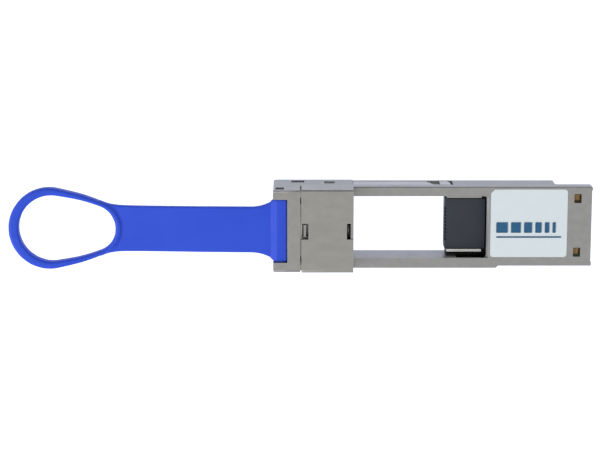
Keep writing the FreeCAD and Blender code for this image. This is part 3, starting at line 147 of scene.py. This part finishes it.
def new_material(name, colour, metallic=0.0, roughness=0.5, **sockets):
    """A principled material with its even values on the shader's own sockets."""
    made = bpy.data.materials.new(name)
    made.use_nodes = True
    shader = made.node_tree.nodes["Principled BSDF"]
    shader.inputs["Base Color"].default_value = (*colour, 1)
    shader.inputs["Metallic"].default_value = metallic
    shader.inputs["Roughness"].default_value = roughness
    for socket, value in sockets.items():
        shader.inputs[socket.replace("_", " ")].default_value = value
    return made, shader


def put(tree, kind, **values):
    """A node, with plain attributes and numbered or named inputs set."""
    node = tree.nodes.new(kind)
    for key, value in values.items():
        if hasattr(node, key):
            setattr(node, key, value)
        else:
            node.inputs[key.replace("_", " ")].default_value = value
    return node


def object_coords(tree, stretch=(1, 1, 1)):
    """Object coordinates, stretched along the axes."""
    coords = put(tree, "ShaderNodeTexCoord")
    mapping = put(tree, "ShaderNodeMapping")
    mapping.inputs["Scale"].default_value = stretch
    tree.links.new(coords.outputs["Object"], mapping.inputs["Vector"])
    return mapping.outputs["Vector"]


def noise(tree, scale, detail, stretch=(1, 1, 1)):
    """Noise whose scale is its number of features in a metre."""
    made = put(tree, "ShaderNodeTexNoise", Scale=scale, Detail=detail)
    tree.links.new(object_coords(tree, stretch), made.inputs["Vector"])
    return made.outputs["Fac"]


def ramp(tree, factor, *stops):
    """A colour ramp; each stop is a place and a colour."""
    made = put(tree, "ShaderNodeValToRGB")
    band = made.color_ramp
    while len(band.elements) < len(stops):
        band.elements.new(0.5)
    for element, (place, colour) in zip(band.elements, stops):
        element.position = place
        element.color = (*colour, 1)
    tree.links.new(factor, made.inputs["Fac"])
    return made.outputs["Color"]


def spread(tree, factor, low, high, start=0.3, end=0.7):
    """A factor mapped to a range."""
    made = put(tree, "ShaderNodeMapRange")
    for name, value in (("From Min", start), ("From Max", end), ("To Min", low), ("To Max", high)):
        made.inputs[name].default_value = value
    tree.links.new(factor, made.inputs["Value"])
    return made.outputs["Result"]


def add_bump(tree, shader, height, distance, strength, under=None):
    """A bump whose distance is in metres, on top of another bump if one is given."""
    made = put(tree, "ShaderNodeBump", Strength=strength, Distance=distance)
    tree.links.new(height, made.inputs["Height"])
    if under:
        tree.links.new(under, made.inputs["Normal"])
    tree.links.new(made.outputs["Normal"], shader.inputs["Normal"])
    return made.outputs["Normal"]


def painted_edge_highlight(tree):
    """A factor that is 1 on sharp outward edges, where the metals get a painted highlight."""
    bevel = put(tree, "ShaderNodeBevel", Radius=0.25 * MM)
    bevel.samples = 4
    plain = put(tree, "ShaderNodeNewGeometry")
    dot = put(tree, "ShaderNodeVectorMath", operation="DOT_PRODUCT")
    tree.links.new(bevel.outputs["Normal"], dot.inputs[0])
    tree.links.new(plain.outputs["Normal"], dot.inputs[1])
    return spread(tree, dot.outputs["Value"], 1, 0, 0.75, 0.98)


def mix_colour(tree, factor, first, second):
    """Two colours mixed by a factor."""
    made = put(tree, "ShaderNodeMix", data_type="RGBA")
    tree.links.new(factor, made.inputs["Factor"])
    for socket, colour in (("A", first), ("B", second)):
        slot = [s for s in made.inputs if s.name == socket and s.type == "RGBA"][0]
        if isinstance(colour, tuple):
            slot.default_value = (*colour, 1)
        else:
            tree.links.new(colour, slot)
    return [s for s in made.outputs if s.type == "RGBA"][0]


def plated_metal(name, tone, grain, rough, brushed=(1, 1, 1)):
    """Nickel plate over a casting or sheet: mottled tone, fine grain and a painted highlight that
    brightens sharp edges.
    """
    made, shader = new_material(name, tone, metallic=0.9, roughness=rough)
    tree = made.node_tree
    dark = tuple(0.955 * c for c in tone)
    light = tuple(1.045 * c for c in tone)
    mottle = ramp(tree, noise(tree, 650, 6, brushed), (0.35, dark), (0.65, light))
    # Painted highlight: sharp edges are lightened to 1.2 times the tone.
    edge_highlight_tone = tuple(min(1.0, 1.2 * c) for c in tone)
    colour = mix_colour(tree, painted_edge_highlight(tree), mottle, edge_highlight_tone)
    tree.links.new(colour, shader.inputs["Base Color"])
    rubbed = noise(tree, 260, 4)
    tree.links.new(spread(tree, rubbed, rough - 0.03, rough + 0.05), shader.inputs["Roughness"])
    add_bump(tree, shader, noise(tree, 4200, 2, brushed), 0.02 * MM, grain)
    return made


def make_materials():
    """Every finish on the object, by name."""
    finishes = {
        "cast": plated_metal("nickel_cast", (0.428, 0.431, 0.431), 0.3, 0.33),
        "bezel": plated_metal("nickel_bezel", (0.436, 0.431, 0.422), 0.4, 0.36),
        "sheet": plated_metal("nickel_sheet", (0.442, 0.44, 0.424), 0.2, 0.33, (0.5, 1, 1)),
        # Painted shade: a near-black finish stands in for the shade deep in the hollows.
        "inside": plated_metal("painted_shade_casting", (0.09, 0.092, 0.085), 0.4, 0.55),
        # Painted highlight: a near-white finish on one guide rib's top, the lit side only.
        "guide": plated_metal("painted_highlight_guide", (0.9, 0.91, 0.94), 0.1, 0.3),
        "bronze": plated_metal("bronze_clip", (0.34, 0.22, 0.1), 0.2, 0.35),
        "slider": plated_metal("slider_steel", (0.62, 0.62, 0.61), 0.2, 0.28, (0.15, 1, 1)),
        "spring": plated_metal("spring_steel", (0.6, 0.6, 0.6), 0.15, 0.25),
        "screw": plated_metal("screw_steel", (0.3, 0.3, 0.31), 0.2, 0.3),
        "gold": plated_metal("gold_plate", (0.86, 0.6, 0.24), 0.1, 0.25),
    }
    finishes["tab"] = tab_rubber()
    finishes["board"] = solder_mask()
    finishes["slate"] = moulded_plastic("slate_plastic", (0.028, 0.034, 0.05), 0.42)
    finishes["chip"] = moulded_plastic("chip_plastic", (0.016, 0.016, 0.018), 0.45)
    finishes["ferrite"] = moulded_plastic("ferrite", (0.07, 0.07, 0.075), 0.6)
    finishes["ceramic"] = moulded_plastic("ceramic_tan", (0.32, 0.2, 0.11), 0.4)
    finishes["resistor"] = moulded_plastic("resistor_black", (0.02, 0.02, 0.02), 0.35)
    finishes["gasket"] = moulded_plastic("gasket_rubber", (0.13, 0.13, 0.14), 0.7)
    finishes["film"] = label_film()
    finishes["ink"] = printing_ink()
    return finishes


def moulded_plastic(name, tone, rough):
    """Moulded plastic with a slightly uneven tone, flow marks and a fine skin."""
    made, shader = new_material(name, tone, roughness=rough, Specular_IOR_Level=0.45)
    tree = made.node_tree
    light = tuple(1.35 * c for c in tone)
    flow = ramp(tree, noise(tree, 180, 4, (0.4, 1, 1)), (0.3, tone), (0.75, light))
    tree.links.new(flow, shader.inputs["Base Color"])
    tree.links.new(spread(tree, noise(tree, 340, 3), rough - 0.05, rough + 0.12),
                   shader.inputs["Roughness"])
    add_bump(tree, shader, noise(tree, 6000, 2), 0.015 * MM, 0.35)
    return made


def tab_rubber():
    """Blue moulded elastomer with a soft sheen and a finely matted skin."""
    made, shader = new_material("tab_blue_elastomer", (0.037, 0.1, 0.78), roughness=0.45,
                                Specular_IOR_Level=0.22, Subsurface_Weight=0.08,
                                Subsurface_Scale=0.6 * MM)
    shader.inputs["Subsurface Radius"].default_value = (0.4, 0.7, 1.0)
    tree = made.node_tree
    skin = ramp(tree, noise(tree, 90, 3), (0.3, (0.035, 0.096, 0.75)), (0.7, (0.039, 0.106, 0.81)))
    tree.links.new(skin, shader.inputs["Base Color"])
    tree.links.new(spread(tree, noise(tree, 240, 4), 0.4, 0.5), shader.inputs["Roughness"])
    fine = add_bump(tree, shader, noise(tree, 7500, 2), 0.012 * MM, 0.4)
    add_bump(tree, shader, noise(tree, 700, 2), 0.02 * MM, 0.12, fine)
    return made


def solder_mask():
    """Green circuit board with buried traces and a glossy mask."""
    made, shader = new_material("board_mask", (0.02, 0.12, 0.06), roughness=0.28,
                                Coat_Weight=0.4, Coat_Roughness=0.15)
    tree = made.node_tree
    tracks = put(tree, "ShaderNodeTexWave", Scale=310.0, Distortion=0.0)
    tracks.bands_direction = "Y"
    tree.links.new(object_coords(tree), tracks.inputs["Vector"])
    stripes = ramp(tree, tracks.outputs["Fac"], (0.55, (0.012, 0.09, 0.045)),
                   (0.6, (0.03, 0.17, 0.085)))
    tree.links.new(stripes, shader.inputs["Base Color"])
    add_bump(tree, shader, tracks.outputs["Fac"], 0.01 * MM, 0.2)
    return made


def label_film():
    """Satin printed film with a faint paper mottle."""
    made, shader = new_material("label_film", (0.83, 0.93, 0.985), roughness=0.42,
                                Coat_Weight=0.25, Coat_Roughness=0.3)
    tree = made.node_tree
    mottle = ramp(tree, noise(tree, 600, 4), (0.3, (0.82, 0.92, 0.975)),
                  (0.7, (0.84, 0.94, 0.995)))
    tree.links.new(mottle, shader.inputs["Base Color"])
    add_bump(tree, shader, noise(tree, 2500, 3), 0.006 * MM, 0.25)
    return made


def printing_ink():
    """Teal ink of a slightly uneven tone under the film's satin coat."""
    made, shader = new_material("teal_ink", (0.007, 0.115, 0.268), roughness=0.4,
                                Coat_Weight=0.25, Coat_Roughness=0.3)
    tree = made.node_tree
    tone = ramp(tree, noise(tree, 900, 3), (0.3, (0.006, 0.105, 0.25)),
                (0.7, (0.008, 0.125, 0.285)))
    tree.links.new(tone, shader.inputs["Base Color"])
    return made


def dress(piece, material):
    """Give a piece one finish in place of whatever it has."""
    piece.data.materials.clear()
    piece.data.materials.append(material)


# ---------------------------------------------------------------- modelling


def select_only(piece):
    """Deselect everything and make one object the selected and active one."""
    bpy.ops.object.select_all(action="DESELECT")
    piece.select_set(True)
    bpy.context.view_layer.objects.active = piece


def apply_modifier(piece, kind, **values):
    """Add a modifier, set it up and apply it."""
    modifier = piece.modifiers.new(kind.lower(), kind)
    for key, value in values.items():
        setattr(modifier, key, value)
    select_only(piece)
    bpy.ops.object.modifier_apply(modifier=modifier.name)


def settle(piece):
    """Put a piece's place, turn and size into its mesh."""
    select_only(piece)
    bpy.ops.object.transform_apply(location=True, rotation=True, scale=True)


def join(name, pieces):
    """Join meshes into one object of that name."""
    select_only(pieces[0])
    for piece in pieces:
        piece.select_set(True)
    bpy.ops.object.join()
    joined = bpy.context.object
    joined.name = name
    return joined


def recalculate(piece):
    """Merge doubles and turn every face outwards."""
    select_only(piece)
    bpy.ops.object.mode_set(mode="EDIT")
    bpy.ops.mesh.select_all(action="SELECT")
    bpy.ops.mesh.remove_doubles(threshold=0.002 * MM)
    bpy.ops.mesh.normals_make_consistent(inside=False)
    bpy.ops.object.mode_set(mode="OBJECT")


def block(name, low, high, bevel=0.0, segments=2):
    """A block between two corners in millimetres, with its edges rounded."""
    size = [(b - a) * MM for a, b in zip(low, high)]
    middle = [(a + b) / 2 * MM for a, b in zip(low, high)]
    bpy.ops.object.select_all(action="DESELECT")
    bpy.ops.mesh.primitive_cube_add(size=1, location=middle)
    made = bpy.context.object
    made.name = name
    made.scale = size
    settle(made)
    if bevel:
        select_only(made)
        bpy.ops.object.mode_set(mode="EDIT")
        bpy.ops.mesh.select_all(action="SELECT")
        bpy.ops.mesh.bevel(offset=bevel * MM, segments=segments, affect="EDGES")
        bpy.ops.object.mode_set(mode="OBJECT")
    return made


def slice_across(piece, x):
    """Cut a piece's faces along a plane across the part."""
    select_only(piece)
    bpy.ops.object.mode_set(mode="EDIT")
    bpy.ops.mesh.select_all(action="SELECT")
    bpy.ops.mesh.bisect(plane_co=(x * MM, 0, 0), plane_no=(1, 0, 0))
    bpy.ops.object.mode_set(mode="OBJECT")


def flat_shape(name, outlines, low, high, edge):
    """A flat shape cut from sheet with rounded edges; outlines hold places and corner kinds."""
    curve = bpy.data.curves.new(name, "CURVE")
    curve.dimensions = "2D"
    curve.fill_mode = "BOTH"
    curve.resolution_u = 10
    curve.bevel_depth = edge * MM
    curve.bevel_resolution = 3
    curve.offset = -edge * MM
    curve.extrude = ((high - low) / 2 - edge) * MM
    for outline in outlines:
        spline = curve.splines.new("BEZIER")
        spline.bezier_points.add(len(outline) - 1)
        spline.use_cyclic_u = True
        for point, (x, y, kind) in zip(spline.bezier_points, outline):
            point.co = (x * MM, y * MM, 0)
            point.handle_left_type = kind
            point.handle_right_type = kind
    shape = bpy.data.objects.new(name, curve)
    bpy.context.collection.objects.link(shape)
    shape.location = (0, 0, (low + high) / 2 * MM)
    select_only(shape)
    bpy.ops.object.convert(target="MESH")
    shape = bpy.context.object
    settle(shape)
    recalculate(shape)
    return shape


def arc_points(centre_x, radius, start, end, steps):
    """Smooth points round a circle on the X axis, from one angle in degrees to another."""
    points = []
    for i in range(steps + 1):
        angle = math.radians(start + (end - start) * i / steps)
        x = centre_x + radius * math.cos(angle)
        points.append((x, radius * math.sin(angle), "AUTO"))
    return points


def mirrored(points):
    """An outline's upper half followed by its mirror image below the X axis."""
    return points + [(x, -y, kind) for x, y, kind in reversed(points)]


# ---------------------------------------------------------------- the pull tab

TAB_HEAD_LOW, TAB_HEAD_HIGH = (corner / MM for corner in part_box("pull_tab_head"))
TAB_LOOP_LOW, TAB_LOOP_HIGH = (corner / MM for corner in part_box("pull_tab_loop"))
TAB_BEND = JOINTS["tab_flex"]["pos_m"][0] / MM
STRAP_HALF = 5.22
STRAP_THICK = 1.6
STRAP_EDGE = 0.3
STRAP_SLICE = 1.2
STRAP_SLICES = 28
STRAP_UNDER_HEAD = 0.8
STRAP_UNDER_RIM = 1.2
BEND_TOP = 12.5
HEAD_HALF = TAB_HEAD_HIGH.y + 0.12
HEAD_REAR = TAB_HEAD_HIGH.x + 0.28
RIDGE_FRONT = TAB_HEAD_HIGH.x - 3.3
RIDGE_RUN = 1.15
RIDGE_DROP = 0.85
HEAD_DEEP = 2.8
HEAD_DEEP_FRONT = 2.35
HEAD_NARROWING = 0.955
HEAD_MIDDLE_Z = 12.5
HEAD_EDGE = 0.16
FLARE_RADIUS = 9.0
FLARE_START = RIDGE_FRONT - 4.5
RING_FAR_R = TAB_LOOP_HIGH.y
RING_FAR = TAB_LOOP_LOW.x + RING_FAR_R
RING_NEAR = RING_FAR + 9.9
RING_NEAR_R = 6.35
HOLE_FAR = RING_FAR + 0.6
HOLE_FAR_R = RING_FAR_R - 1.7
HOLE_NEAR = RING_NEAR - 0.6
HOLE_NEAR_R = 5.55
STRAP_JOIN = RING_NEAR + 5.2
RING_DEEP = 3.0
RING_EDGE = 0.62
TAB_VOXEL = 0.15
TAB_SMOOTHINGS = 8


def teardrop(far_x, far_r, near_x, near_r):
    """An outline of two arcs joined by straight sides."""
    turn = math.degrees(math.acos((far_r - near_r) / (near_x - far_x)))
    side = arc_points(near_x, near_r, 0, turn, 3)[:-1]
    side += arc_points(near_x, near_r, turn, turn, 1)[:1]
    side += arc_points(far_x, far_r, turn, 180, 6)[:-1]
    lower = [(x, -y, kind) for x, y, kind in reversed(side[1:])]
    return side + [(far_x - far_r, 0, "AUTO")] + lower


def strap_top(x):
    """Height of the strap's top along its length."""
    head_z = TAB_HEAD_HIGH.z - STRAP_UNDER_HEAD
    join_z = TAB_LOOP_HIGH.z - STRAP_UNDER_RIM
    if x > TAB_BEND:
        return BEND_TOP + (head_z - BEND_TOP) * (x - TAB_BEND) / (RIDGE_FRONT - TAB_BEND)
    along = min(1.0, (TAB_BEND - x) / (TAB_BEND - STRAP_JOIN))
    return BEND_TOP + (join_z - BEND_TOP) * along


def flare_edge():
    """The strap's edge from the tab's head down to its straight stretch."""
    points = []
    for step in (5.15, 4.2, 3.2, 2.1, 1.0, 0.0):
        y = STRAP_HALF + FLARE_RADIUS - math.sqrt(FLARE_RADIUS ** 2 - step ** 2)
        points.append((FLARE_START + step, min(y, HEAD_HALF), "AUTO"))
    return points


def strap_plate():
    """The strap with its flare and the fillets that run out along the loop."""
    inside_head = HEAD_HALF - 0.4
    half = [(TAB_HEAD_HIGH.x - 1.5, inside_head, "VECTOR"),
            (RIDGE_FRONT + 0.8, inside_head, "VECTOR")]
    half += flare_edge()
    half += [(FLARE_START - 2, STRAP_HALF, "AUTO"), (STRAP_JOIN + 2.5, STRAP_HALF + 0.02, "AUTO"),
             (STRAP_JOIN + 0.3, STRAP_HALF + 0.12, "AUTO"), (STRAP_JOIN - 1.9, 5.72, "AUTO"),
             (STRAP_JOIN - 3.7, 6.4, "VECTOR")]
    half += arc_points(HOLE_NEAR, HOLE_NEAR_R + 0.6, 70, 10, 5)
    plate = flat_shape("strap", [mirrored(half)], -STRAP_THICK, 0, STRAP_EDGE)
    for cut in range(STRAP_SLICES):
        slice_across(plate, FLARE_START - STRAP_SLICE * cut)
    for vertex in plate.data.vertices:
        vertex.co.z += strap_top(vertex.co.x / MM) * MM
    return plate


def tab_head_block():
    """The head that the slider's tongue is moulded into, sloped where the strap leaves it."""
    low, high = TAB_HEAD_LOW.copy(), TAB_HEAD_HIGH.copy()
    low.x, high.x = RIDGE_FRONT, HEAD_REAR
    low.y, high.y = -HEAD_HALF, HEAD_HALF
    low.z = high.z - HEAD_DEEP
    head = block("tab_block", low, high)
    for vertex in head.data.vertices:
        if vertex.co.x / MM < RIDGE_FRONT + 0.1:
            upper = vertex.co.z / MM > HEAD_MIDDLE_Z
            vertex.co.z = (high.z - (RIDGE_DROP if upper else HEAD_DEEP_FRONT)) * MM
            vertex.co.y *= HEAD_NARROWING
    slice_across(head, RIDGE_FRONT + RIDGE_RUN)
    for vertex in head.data.vertices:
        if abs(vertex.co.x / MM - RIDGE_FRONT - RIDGE_RUN) < 0.01:
            vertex.co.z = (high.z if vertex.co.z / MM > HEAD_MIDDLE_Z else low.z) * MM
            vertex.co.y = math.copysign(HEAD_HALF * MM, vertex.co.y)
    select_only(head)
    bpy.ops.object.mode_set(mode="EDIT")
    bpy.ops.mesh.select_all(action="SELECT")
    bpy.ops.mesh.bevel(offset=HEAD_EDGE * MM, segments=2, affect="EDGES")
    bpy.ops.object.mode_set(mode="OBJECT")
    return head


def make_pull_tab():
    """One moulded piece: head, strap and finger loop, with a rim round the loop's hole."""
    ring = flat_shape("ring", [teardrop(RING_FAR, RING_FAR_R, RING_NEAR, RING_NEAR_R),
                               teardrop(HOLE_FAR, HOLE_FAR_R, HOLE_NEAR, HOLE_NEAR_R)],
                      TAB_LOOP_LOW.z, TAB_LOOP_LOW.z + RING_DEEP, RING_EDGE)
    tab = join("pull_tab", [strap_plate(), tab_head_block(), ring])
    apply_modifier(tab, "REMESH", mode="VOXEL", voxel_size=TAB_VOXEL * MM)
    apply_modifier(tab, "SMOOTH", factor=0.5, iterations=TAB_SMOOTHINGS)
    select_only(tab)
    bpy.ops.object.shade_smooth()
    dress(tab, FINISH["tab"])
    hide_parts("pull_tab_head", "pull_tab_loop")
    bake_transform(tab)


# ---------------------------------------------------------------- metal pieces

GUIDE_WIDE = 0.8
PIT_INSET = 2.5
PIT_LOW = 0.2
PIT_HIGH = 4.5
PIT_HALF = 8.3
HOLLOW_REACH = 6.5
HOLLOW_HIGH = 8.0
HOLLOW_HALF = 8.4
LIP_IN = 7.6
LIP_OUT = 9.05
LIP_DOWN = 0.6
LIP_DEEP = 1.0


def copied(node, name):
    """A copy of a CAD node's shape with its doubled vertices merged."""
    piece = NODES[node].copy()
    piece.data = piece.data.copy()
    bpy.context.collection.objects.link(piece)
    piece.parent = None
    piece.name = name
    piece.hide_render = False
    select_only(piece)
    bpy.ops.object.mode_set(mode="EDIT")
    bpy.ops.mesh.select_all(action="SELECT")
    bpy.ops.mesh.remove_doubles(threshold=0.001 * MM)
    bpy.ops.object.mode_set(mode="OBJECT")
    return piece


def softened(node, name, finish, edge, body="housing_body"):
    """A CAD node's shape with its sharp outer edges broken, in place of the node."""
    piece = copied(node, name)
    bpy.ops.object.mode_set(mode="EDIT")
    bpy.ops.mesh.select_all(action="SELECT")
    bpy.ops.mesh.dissolve_limited(angle_limit=math.radians(1))
    bpy.ops.object.mode_set(mode="OBJECT")
    mesh = bmesh.new()
    mesh.from_mesh(piece.data)
    picked = [e for e in mesh.edges if is_breakable(e, edge * MM)]
    bmesh.ops.bevel(mesh, geom=picked, offset=edge * MM, segments=2, affect="EDGES",
                    clamp_overlap=True, profile=0.5)
    mesh.to_mesh(piece.data)
    mesh.free()
    select_only(piece)
    bpy.ops.object.shade_smooth_by_angle(angle=math.radians(40))
    apply_modifier(piece, "WEIGHTED_NORMAL", keep_sharp=True, weight=100)
    dress(piece, FINISH[finish])
    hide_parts(node)
    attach(piece, body)
    return piece


def finish_faces(piece, finish, wanted):
    """Give a second finish to the faces that pass a test."""
    piece.data.materials.append(FINISH[finish])
    index = len(piece.data.materials) - 1
    for face in piece.data.polygons:
        if wanted(face):
            face.material_index = index


def is_guide_top(face):
    """Whether a face is the top of the right guide rib beside the inner connector, which gets a painted
    highlight.
    """
    low, high = (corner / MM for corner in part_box("port_connector"))
    middle = face.center / MM
    beside = middle.y < low.y and middle.y > low.y - GUIDE_WIDE
    return beside and face.normal.z > 0.5 and abs(middle.z - high.z) < 0.3


def is_pit_floor(face):
    """Whether a face lines the lower shell's pit behind the rails, which gets painted shade."""
    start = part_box("port_connector")[0].x / MM + PIT_INSET
    middle = face.center / MM
    return middle.x > start and PIT_LOW < middle.z < PIT_HIGH and abs(middle.y) < PIT_HALF


def is_body_inside(face):
    """Whether a face lines the housing's hollow behind the window, which gets painted shade."""
    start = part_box("port_connector")[1].x / MM - HOLLOW_REACH
    middle = face.center / MM
    return middle.x > start and middle.z < HOLLOW_HIGH and abs(middle.y) < HOLLOW_HALF


def is_breakable(edge, width):
    """Whether an edge is sharp, outward and long enough to be broken at that width."""
    if len(edge.link_faces) != 2 or edge.calc_length() < 8 * width:
        return False
    if edge.calc_face_angle_signed(0) < math.radians(50):
        return False
    return all(face.calc_area() > (8 * width) ** 2 for face in edge.link_faces)


def make_metalwork():
    """The castings and sheet parts with broken edges."""
    housing = softened("main_housing", "housing_casting", "cast", 0.08)
    # Painted shade on the housing's hollow behind the window.
    finish_faces(housing, "inside", is_body_inside)
    shell = softened("lower_shell", "lower_casting", "cast", 0.08)
    # Painted shade on the pit floor behind the rails.
    finish_faces(shell, "inside", is_pit_floor)
    # Painted highlight on the top of the right guide rib.
    finish_faces(shell, "guide", is_guide_top)
    softened("front_bezel", "bezel_arch", "bezel", 0.14)
    softened("head_cover", "cover_cap", "sheet", 0.1)
    softened("port_connector", "port_moulding", "slate", 0.1)
    softened("latch_slider", "slider_stamping", "slider", 0.06, "slider_body")


def make_return_springs():
    """The slider's two return springs, held by the housing's body; the real springs shorten towards
    their front ends as the slider is pulled, but these stay as drawn.
    """
    for side in ("left", "right"):
        spring = copied(f"return_spring_{side}", f"coil_{side}")
        dress(spring, FINISH["spring"])
        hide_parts(f"return_spring_{side}")
        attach(spring, "housing_body")
        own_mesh(spring)


def make_head_lips():
    """Two low lips of the head that close the slit between bezel and cover at its ends."""
    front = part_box("front_bezel")[1].x / MM
    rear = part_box("head_cover")[0].x / MM
    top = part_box("head_cover")[1].z / MM - LIP_DOWN
    lips = []
    for side in (1, -1):
        near, far = sorted((side * LIP_IN, side * LIP_OUT))
        lips.append(block(f"lip_{side}", (front - 0.05, near, top - LIP_DEEP),
                          (rear + 0.3, far, top), 0.05, 1))
    lips = join("head_lips", lips)
    dress(lips, FINISH["cast"])
    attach(lips, "housing_body")


# ---------------------------------------------------------------- the label's print

BAR_WIDTHS = (2.6, 2.2, 1.8, 1.4, 1.0, 0.7)
BAR_GAP = 0.75
BAR_HIGH = 2.4
BAR_ASIDE = 0.95
RULE_HIGH = 0.3
RULE_BELOW = 2.2
PRINT_MARGIN = 1.3
INK_UNDER = 0.01
INK_OVER = 0.012
PRINT_CORNER = 0.14


def make_label_print():
    """A plain printed mark: a row of rounded bars of falling width over a thin rule."""
    low, high = (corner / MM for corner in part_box("label"))
    middle_y = (low.y + high.y) / 2 - BAR_ASIDE
    start = low.x + PRINT_MARGIN
    bars = []
    for i, width in enumerate(BAR_WIDTHS):
        bars.append(printed_bar(f"bar_{i}", start, width, middle_y, BAR_HIGH, high.z))
        start += width + BAR_GAP
    length = high.x - low.x - 2 * PRINT_MARGIN
    rule = printed_bar("rule", low.x + PRINT_MARGIN, length, middle_y - RULE_BELOW, RULE_HIGH, high.z)
    printed = join("label_print", bars + [rule])
    dress(printed, FINISH["ink"])
    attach(printed, "housing_body")


def printed_bar(name, x, width, y, height, top):
    """One bar of print with rounded corners, a hair above the label."""
    bar = block(name, (x, y - height / 2, top - INK_UNDER), (x + width, y + height / 2, top + INK_OVER))
    select_only(bar)
    bpy.ops.object.mode_set(mode="EDIT")
    bpy.ops.mesh.select_all(action="DESELECT")
    bpy.ops.object.mode_set(mode="OBJECT")
    for edge in bar.data.edges:
        a, b = (bar.data.vertices[v].co for v in edge.vertices)
        edge.select = abs(a.z - b.z) > 0.005 * MM
    select_only(bar)
    bpy.ops.object.mode_set(mode="EDIT")
    bpy.ops.mesh.bevel(offset=PRINT_CORNER * MM, segments=4, affect="EDGES")
    bpy.ops.object.mode_set(mode="OBJECT")
    return bar


add_camera()
add_studio()
FINISH = make_materials()

CARRIED = {
    "shell_screws": "screw",
    "bezel_dowels": "spring",
    "throat_liner": "sheet",
    "shielding_fingers": "spring",
    "latch_tongue": "spring",
    "paddle_card": "board",
    "host_pads_top": "gold",
    "host_pads_bottom": "gold",
    "port_contacts_upper": "gold",
    "port_contacts_lower": "gold",
    "controller_chip": "chip",
    "memory_chip": "chip",
    "memory_leads": "spring",
    "power_inductors": "ferrite",
    "capacitors": "ceramic",
    "resistors": "resistor",
    "ground_clips": "bronze",
    "seam_gasket_left": "gasket",
    "seam_gasket_right": "gasket",
    "label": "film",
}
for node, finish in CARRIED.items():
    for slot in NODES[node].material_slots:
        slot.material = FINISH[finish]

make_pull_tab()
make_metalwork()
make_return_springs()
make_head_lips()
make_label_print()
